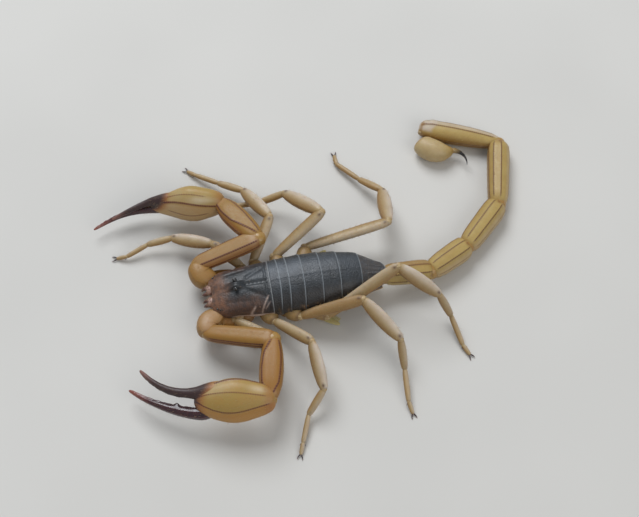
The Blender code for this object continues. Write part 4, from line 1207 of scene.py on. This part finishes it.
def tail_length(number, joints):
    """One ring of the tail: dotted keels along it, a furrow down its back and a flared far rim."""
    near, far = joints[number - 1], joints[number]
    length, last = (far - near).length, number == 5
    roll = math.radians(TAIL_ROLLS[number - 1])
    back = UP * math.cos(roll) + UP.cross((far - near).normalized()).normalized() * math.sin(roll)
    if last:
        near, far = near - back * 0.25, far - back * 0.25
    wide, deep = TAIL_HALF_WIDTHS[number - 1], TAIL_HALF_DEPTHS[number - 1]
    shape = LAST_SHAPE if last else TAIL_SHAPE
    stations = [(share * (length - 0.1) + 0.05, wide * k, deep * k) for share, k in shape]
    piece = tube(f"tail_{number}", denser(stations), 16, 3)
    rows = TAIL_ROWS.get(number, TAIL_ROWS[1])
    co = read(piece)
    turn, share = turn_of(co), co[:, 0] / length
    furrow = bell(turn, 0.0, 16.0) * between(share, 0.03, 0.12, 0.9, 0.97)
    flats = 1.0 + sum(0.025 * bell(np.abs(turn), row, 11.0) for row in rows)
    flats = flats * (1.0 - 0.16 * furrow / np.maximum(np.hypot(co[:, 1], co[:, 2]), 0.3))
    co[:, 1:] *= flats[:, None]
    write(piece, co)
    keels = []
    for row in rows:
        strong = row < 150.0 or last
        keel = both(row, 0.11 if strong else 0.06, 0.13, 0.4, 0.06, 0.95, 0.95 if strong else 0.6)
        keels += keel if row < 180.0 else keel[:1]
    keeled(piece, keels)

    co = read(piece)
    round_it, from_end = np.abs(turn), length - co[:, 0]
    ends = 0.75 * bell(from_end, 0.0, 0.28) + 0.45 * bell(co[:, 0], 0.0, 0.35)
    knuckle = bell(from_end, 0.35, 0.4) * bell(round_it, 96.0, 12.0)
    shade = 0.8 * bell(round_it, 15.0, 26.0) + 0.25 * ramp(130.0, 170.0, round_it)
    # painted shade that dims the upward-facing band between the keels of the fourth ring
    if number == 4:
        shade = shade + 0.2 * bell(round_it, 80.0, 17.0, 4)
    if last:
        lobes = bell(round_it, 122.0, 26.0) * between(co[:, 0] - length, -3.4, -2.6, -0.2, 0.4)
        co[:, 1:] *= (1.0 + 0.17 * lobes * (0.5 + 0.5 * granule_row(co[:, 0] - length + 0.5, 1.5)))[:, None]
        write(piece, co)
        cap = ramp(length - 2.6, length - 1.7, co[:, 0] + 1.2 * ramp(60.0, 120.0, round_it))
        cap = cap * ramp(35.0, 60.0, round_it)
        # the band past the keel is a painted reflection on the ring's face; the lobes and cap are pale of
        # their own
        pale = np.maximum(0.75 * ramp(99.0, 112.0, round_it), 0.95 * np.maximum(lobes, cap))
    else:
        # painted reflection: a paler band on the face past the lowest keels
        pale = 0.3 * ramp(125.0, 150.0, round_it)
    note(piece, joint=np.clip(ends + knuckle, 0.0, 1.0), shade=shade,
         pale=pale * (1.0 - 0.6 * noted(piece, "keel")))
    lay(piece, [near, far], back)
    return given(piece, TAIL, "amber_cuticle", f"metasoma_{number}")


def arc(begin, bend, length, steps=8):
    points = [begin.copy()]
    for i in range(steps):
        heading = bend[0] + (bend[1] - bend[0]) * (i + 0.5) / steps
        points.append(points[-1] + towards(heading) * (length / steps))
    return points


def telson():
    """The smooth round venom bulb and the hooked sting."""
    centres = arc(VESICLE_START, VESICLE_BEND, VESICLE_LENGTH)
    stations = measured(centres, [(VESICLE_RADIUS * k, VESICLE_RADIUS * 0.97 * k) for k in VESICLE_SHARES])
    bulb = tube("venom_bulb", stations, 16)
    x, end = read(bulb)[:, 0], VESICLE_LENGTH
    note(bulb, shade=0.4 * ramp(end - 2.5, end, x), pale=0.3 * (1.0 - ramp(end - 3.0, end, x)),
         joint=0.9 * bell(x, 0.0, 0.5) + 0.35 * ramp(end - 0.8, end, x))
    lay(bulb, centres, UP)
    given(bulb, TAIL, "amber_cuticle", "vesicle")
    centres = arc(centres[-1] - towards(VESICLE_BEND[1]) * 0.25, STING_BEND, STING_LENGTH)
    sizes = [0.66 - 0.61 * (i / 8.0) ** 0.7 for i in range(len(centres))]
    sting = tube("sting", measured(centres, [(size, size) for size in sizes]))
    lay(sting, centres, UP)
    return [bulb, given(sting, STING, "mahogany_cuticle", "aculeus")]


def tail():
    joints = tail_joints()
    shown = [tail_length(number, joints) for number in range(1, 6)]
    cuffs = [(joints[0], (1.2, 1.7, 1.7))]
    cuffs += [(spot, (size,) * 3) for spot, size in zip(joints[1:], (1.7, 1.65, 1.6, 1.35))]
    beads("tail_joint_skin", cuffs, DOME, "amber_cuticle")
    stalk = tube("tail_stalk", [(0.0, 0.5, 0.5), (0.2, 0.85, 0.85), (0.8, 0.9, 0.9), (1.2, 0.6, 0.6)])
    lay(stalk, [joints[5] - (joints[5] - joints[4]).normalized() * 0.3, VESICLE_START], UP)
    given(stalk, MEMBRANE, "amber_cuticle")
    return shown + telson()


# ---------------------------------------------------------------- bristles

def hair(root, way, bend, thickness, side, other):
    """The seven points of one curved spike: two rings of three and a tip that stays above the ground."""
    points = []
    for share, size in ((0.0, 1.0), (0.55, 0.65)):
        for angle in (0.0, 2.1, 4.2):
            spread = side * math.cos(angle) + other * math.sin(angle)
            points.append(root + way * share + bend * share**2 + spread * (thickness * size * MM))
    tip = root + way + bend
    tip[2] = max(tip[2], BRISTLE_CLEARANCE * MM)
    return points + [tip]


HAIR_FACES = [face for i, j in ((0, 1), (1, 2), (2, 0)) for face in ((i, j, 3 + j, 3 + i), (3 + i, 3 + j, 6))]
HAIR_FACES.append((2, 1, 0))


def bristles(name, hosts, spacing, lengths, thickness, lean, slot):
    """Stiff hairs over some pieces, each leaning towards its piece's far end. In their map every piece has
    one cell of a grid, and a hair lies where it stands along and round its piece."""
    verts, faces, spots = [], [], []
    for cell, host in enumerate(hosts):
        mesh = host.data
        count = len(mesh.polygons)
        centre, normal, area = np.empty(count * 3), np.empty(count * 3), np.empty(count)
        for key, values in (("center", centre), ("normal", normal), ("area", area)):
            mesh.polygons.foreach_get(key, values)
        centre, normal = centre.reshape(-1, 3), normal.reshape(-1, 3)
        corner = np.array([polygon.vertices[0] for polygon in mesh.polygons])
        along, turn = noted(host, "along")[corner], noted(host, "turn")[corner]
        wanted = int(area.sum() / (spacing * MM) ** 2)
        far = centre[np.argmax(along)] - centre[np.argmin(along)]
        far /= np.linalg.norm(far)
        for pick in RANDOM.choice(count, size=wanted, replace=True, p=area / area.sum()):
            if not BRISTLE_SPAN[0] < along[pick] < BRISTLE_SPAN[1] or centre[pick][2] < BRISTLE_FLOOR * MM:
                continue
            way = normal[pick] + far * (lean + 0.3 * RANDOM.standard_normal())
            way += 0.25 * RANDOM.standard_normal(3)
            way /= np.linalg.norm(way)
            length = RANDOM.uniform(*lengths) * MM
            side = np.cross(way, far)
            side /= max(np.linalg.norm(side), 1e-9)
            root = centre[pick] - normal[pick] * 0.05 * MM
            faces += [tuple(len(verts) + k for k in face) for face in HAIR_FACES]
            verts += hair(root, way * length, far * 0.22 * length, thickness, side, np.cross(way, side))
            spots += [(cell % MAP_CELLS + 0.03 + 0.94 * along[pick],
                       cell // MAP_CELLS + 0.03 + 0.94 * (turn[pick] / 360.0 + 0.5))] * 7
    mesh = bpy.data.meshes.new(name)
    mesh.from_pydata([tuple(vert) for vert in verts], [], faces)
    mesh.update()
    piece = bpy.data.objects.new(name, mesh)
    bpy.context.collection.objects.link(piece)
    loops = np.empty(len(mesh.loops), dtype=int)
    mesh.loops.foreach_get("vertex_index", loops)
    # a hair's own points lie this far apart in the map
    within = np.array([(0.0, 0.0), (0.003, 0.0), (0.0, 0.003)] * 2 + [(0.0015, 0.0015)])
    uv = (np.array(spots) / MAP_CELLS)[loops] + within[loops % 7]
    mesh.uv_layers.new(name="OFBake").data.foreach_set("uv", uv.ravel())
    turn_faces(piece, bpy.ops.mesh.normals_make_consistent)
    given(piece, BRISTLE, slot)


# ---------------------------------------------------------------- studio

VIEW_AZIMUTH, VIEW_ELEVATION, VIEW_DISTANCE = -9.8, 64.0, 300.0
VIEW_TARGET = np.array((21.2, 4.9, 4.0))
FOCAL_LENGTH = 89.6


def camera():
    back = -towards(VIEW_AZIMUTH + 90.0, -VIEW_ELEVATION)
    data = bpy.data.cameras.new("camera")
    data.lens, data.sensor_width = FOCAL_LENGTH, 36.0
    data.clip_start, data.clip_end = 0.01, 10.0
    made = bpy.data.objects.new("camera", data)
    made.location = Vector(VIEW_TARGET * MM + ORIGIN) + back * (VIEW_DISTANCE * MM)
    made.rotation_euler = (-back).to_track_quat("-Z", "Y").to_euler()
    bpy.context.collection.objects.link(made)
    bpy.context.scene.camera = made


def lamp(name, place, size, power, colour):
    data = bpy.data.lights.new(name, "AREA")
    data.shape, data.size = "DISK", size
    data.energy, data.color = power, colour
    made = bpy.data.objects.new(name, data)
    made.location = place
    made.rotation_euler = Vector(place).to_track_quat("Z", "Y").to_euler()
    bpy.context.collection.objects.link(made)


def studio():
    floor = added("floor", bpy.ops.mesh.primitive_plane_add, size=2.0, location=(0.0, 0.0, 0.0))
    floor.data.materials.append(studio_floor())
    lamp("sky_panel", (-0.1, 0.45, 0.6), 0.5, 4.2, (0.93, 0.96, 1.0))
    lamp("fill_panel", (0.35, -0.5, 0.5), 0.6, 1.6, (1.0, 0.97, 0.93))
    world = bpy.data.worlds.new("soft_room")
    world.use_nodes = True
    world.node_tree.nodes["Background"].inputs["Color"].default_value = linear("dfe3e8")
    world.node_tree.nodes["Background"].inputs["Strength"].default_value = 0.45
    bpy.context.scene.world = world
    bpy.context.scene.view_settings.view_transform = "Standard"


def build():
    carapace()
    for number in range(1, 8):
        tergite(number)
    soft_flank()
    for number in range(3, 8):
        sternite(number)
    eyes()
    breast()
    arms, legs, jaws = [], [], []
    for side in SIDES:
        jaws.append(jaw(side))
        comb(side)
        arms += pincer(side)
        for number in LEGS:
            coxa(number, side)
            legs += leg(number, side)
    rings = tail()
    bristles("leg_bristles", legs, 0.6, (0.35, 0.8), 0.013, 0.9, "straw_cuticle")
    bristles("pincer_bristles", arms, 0.9, (0.35, 0.8), 0.013, 0.7, "amber_cuticle")
    bristles("tail_bristles", rings, 0.95, (0.4, 0.9), 0.013, 0.6, "amber_cuticle")
    bristles("jaw_bristles", jaws, 0.32, (0.25, 0.55), 0.012, 1.2, "amber_cuticle")


build()
camera()
studio()
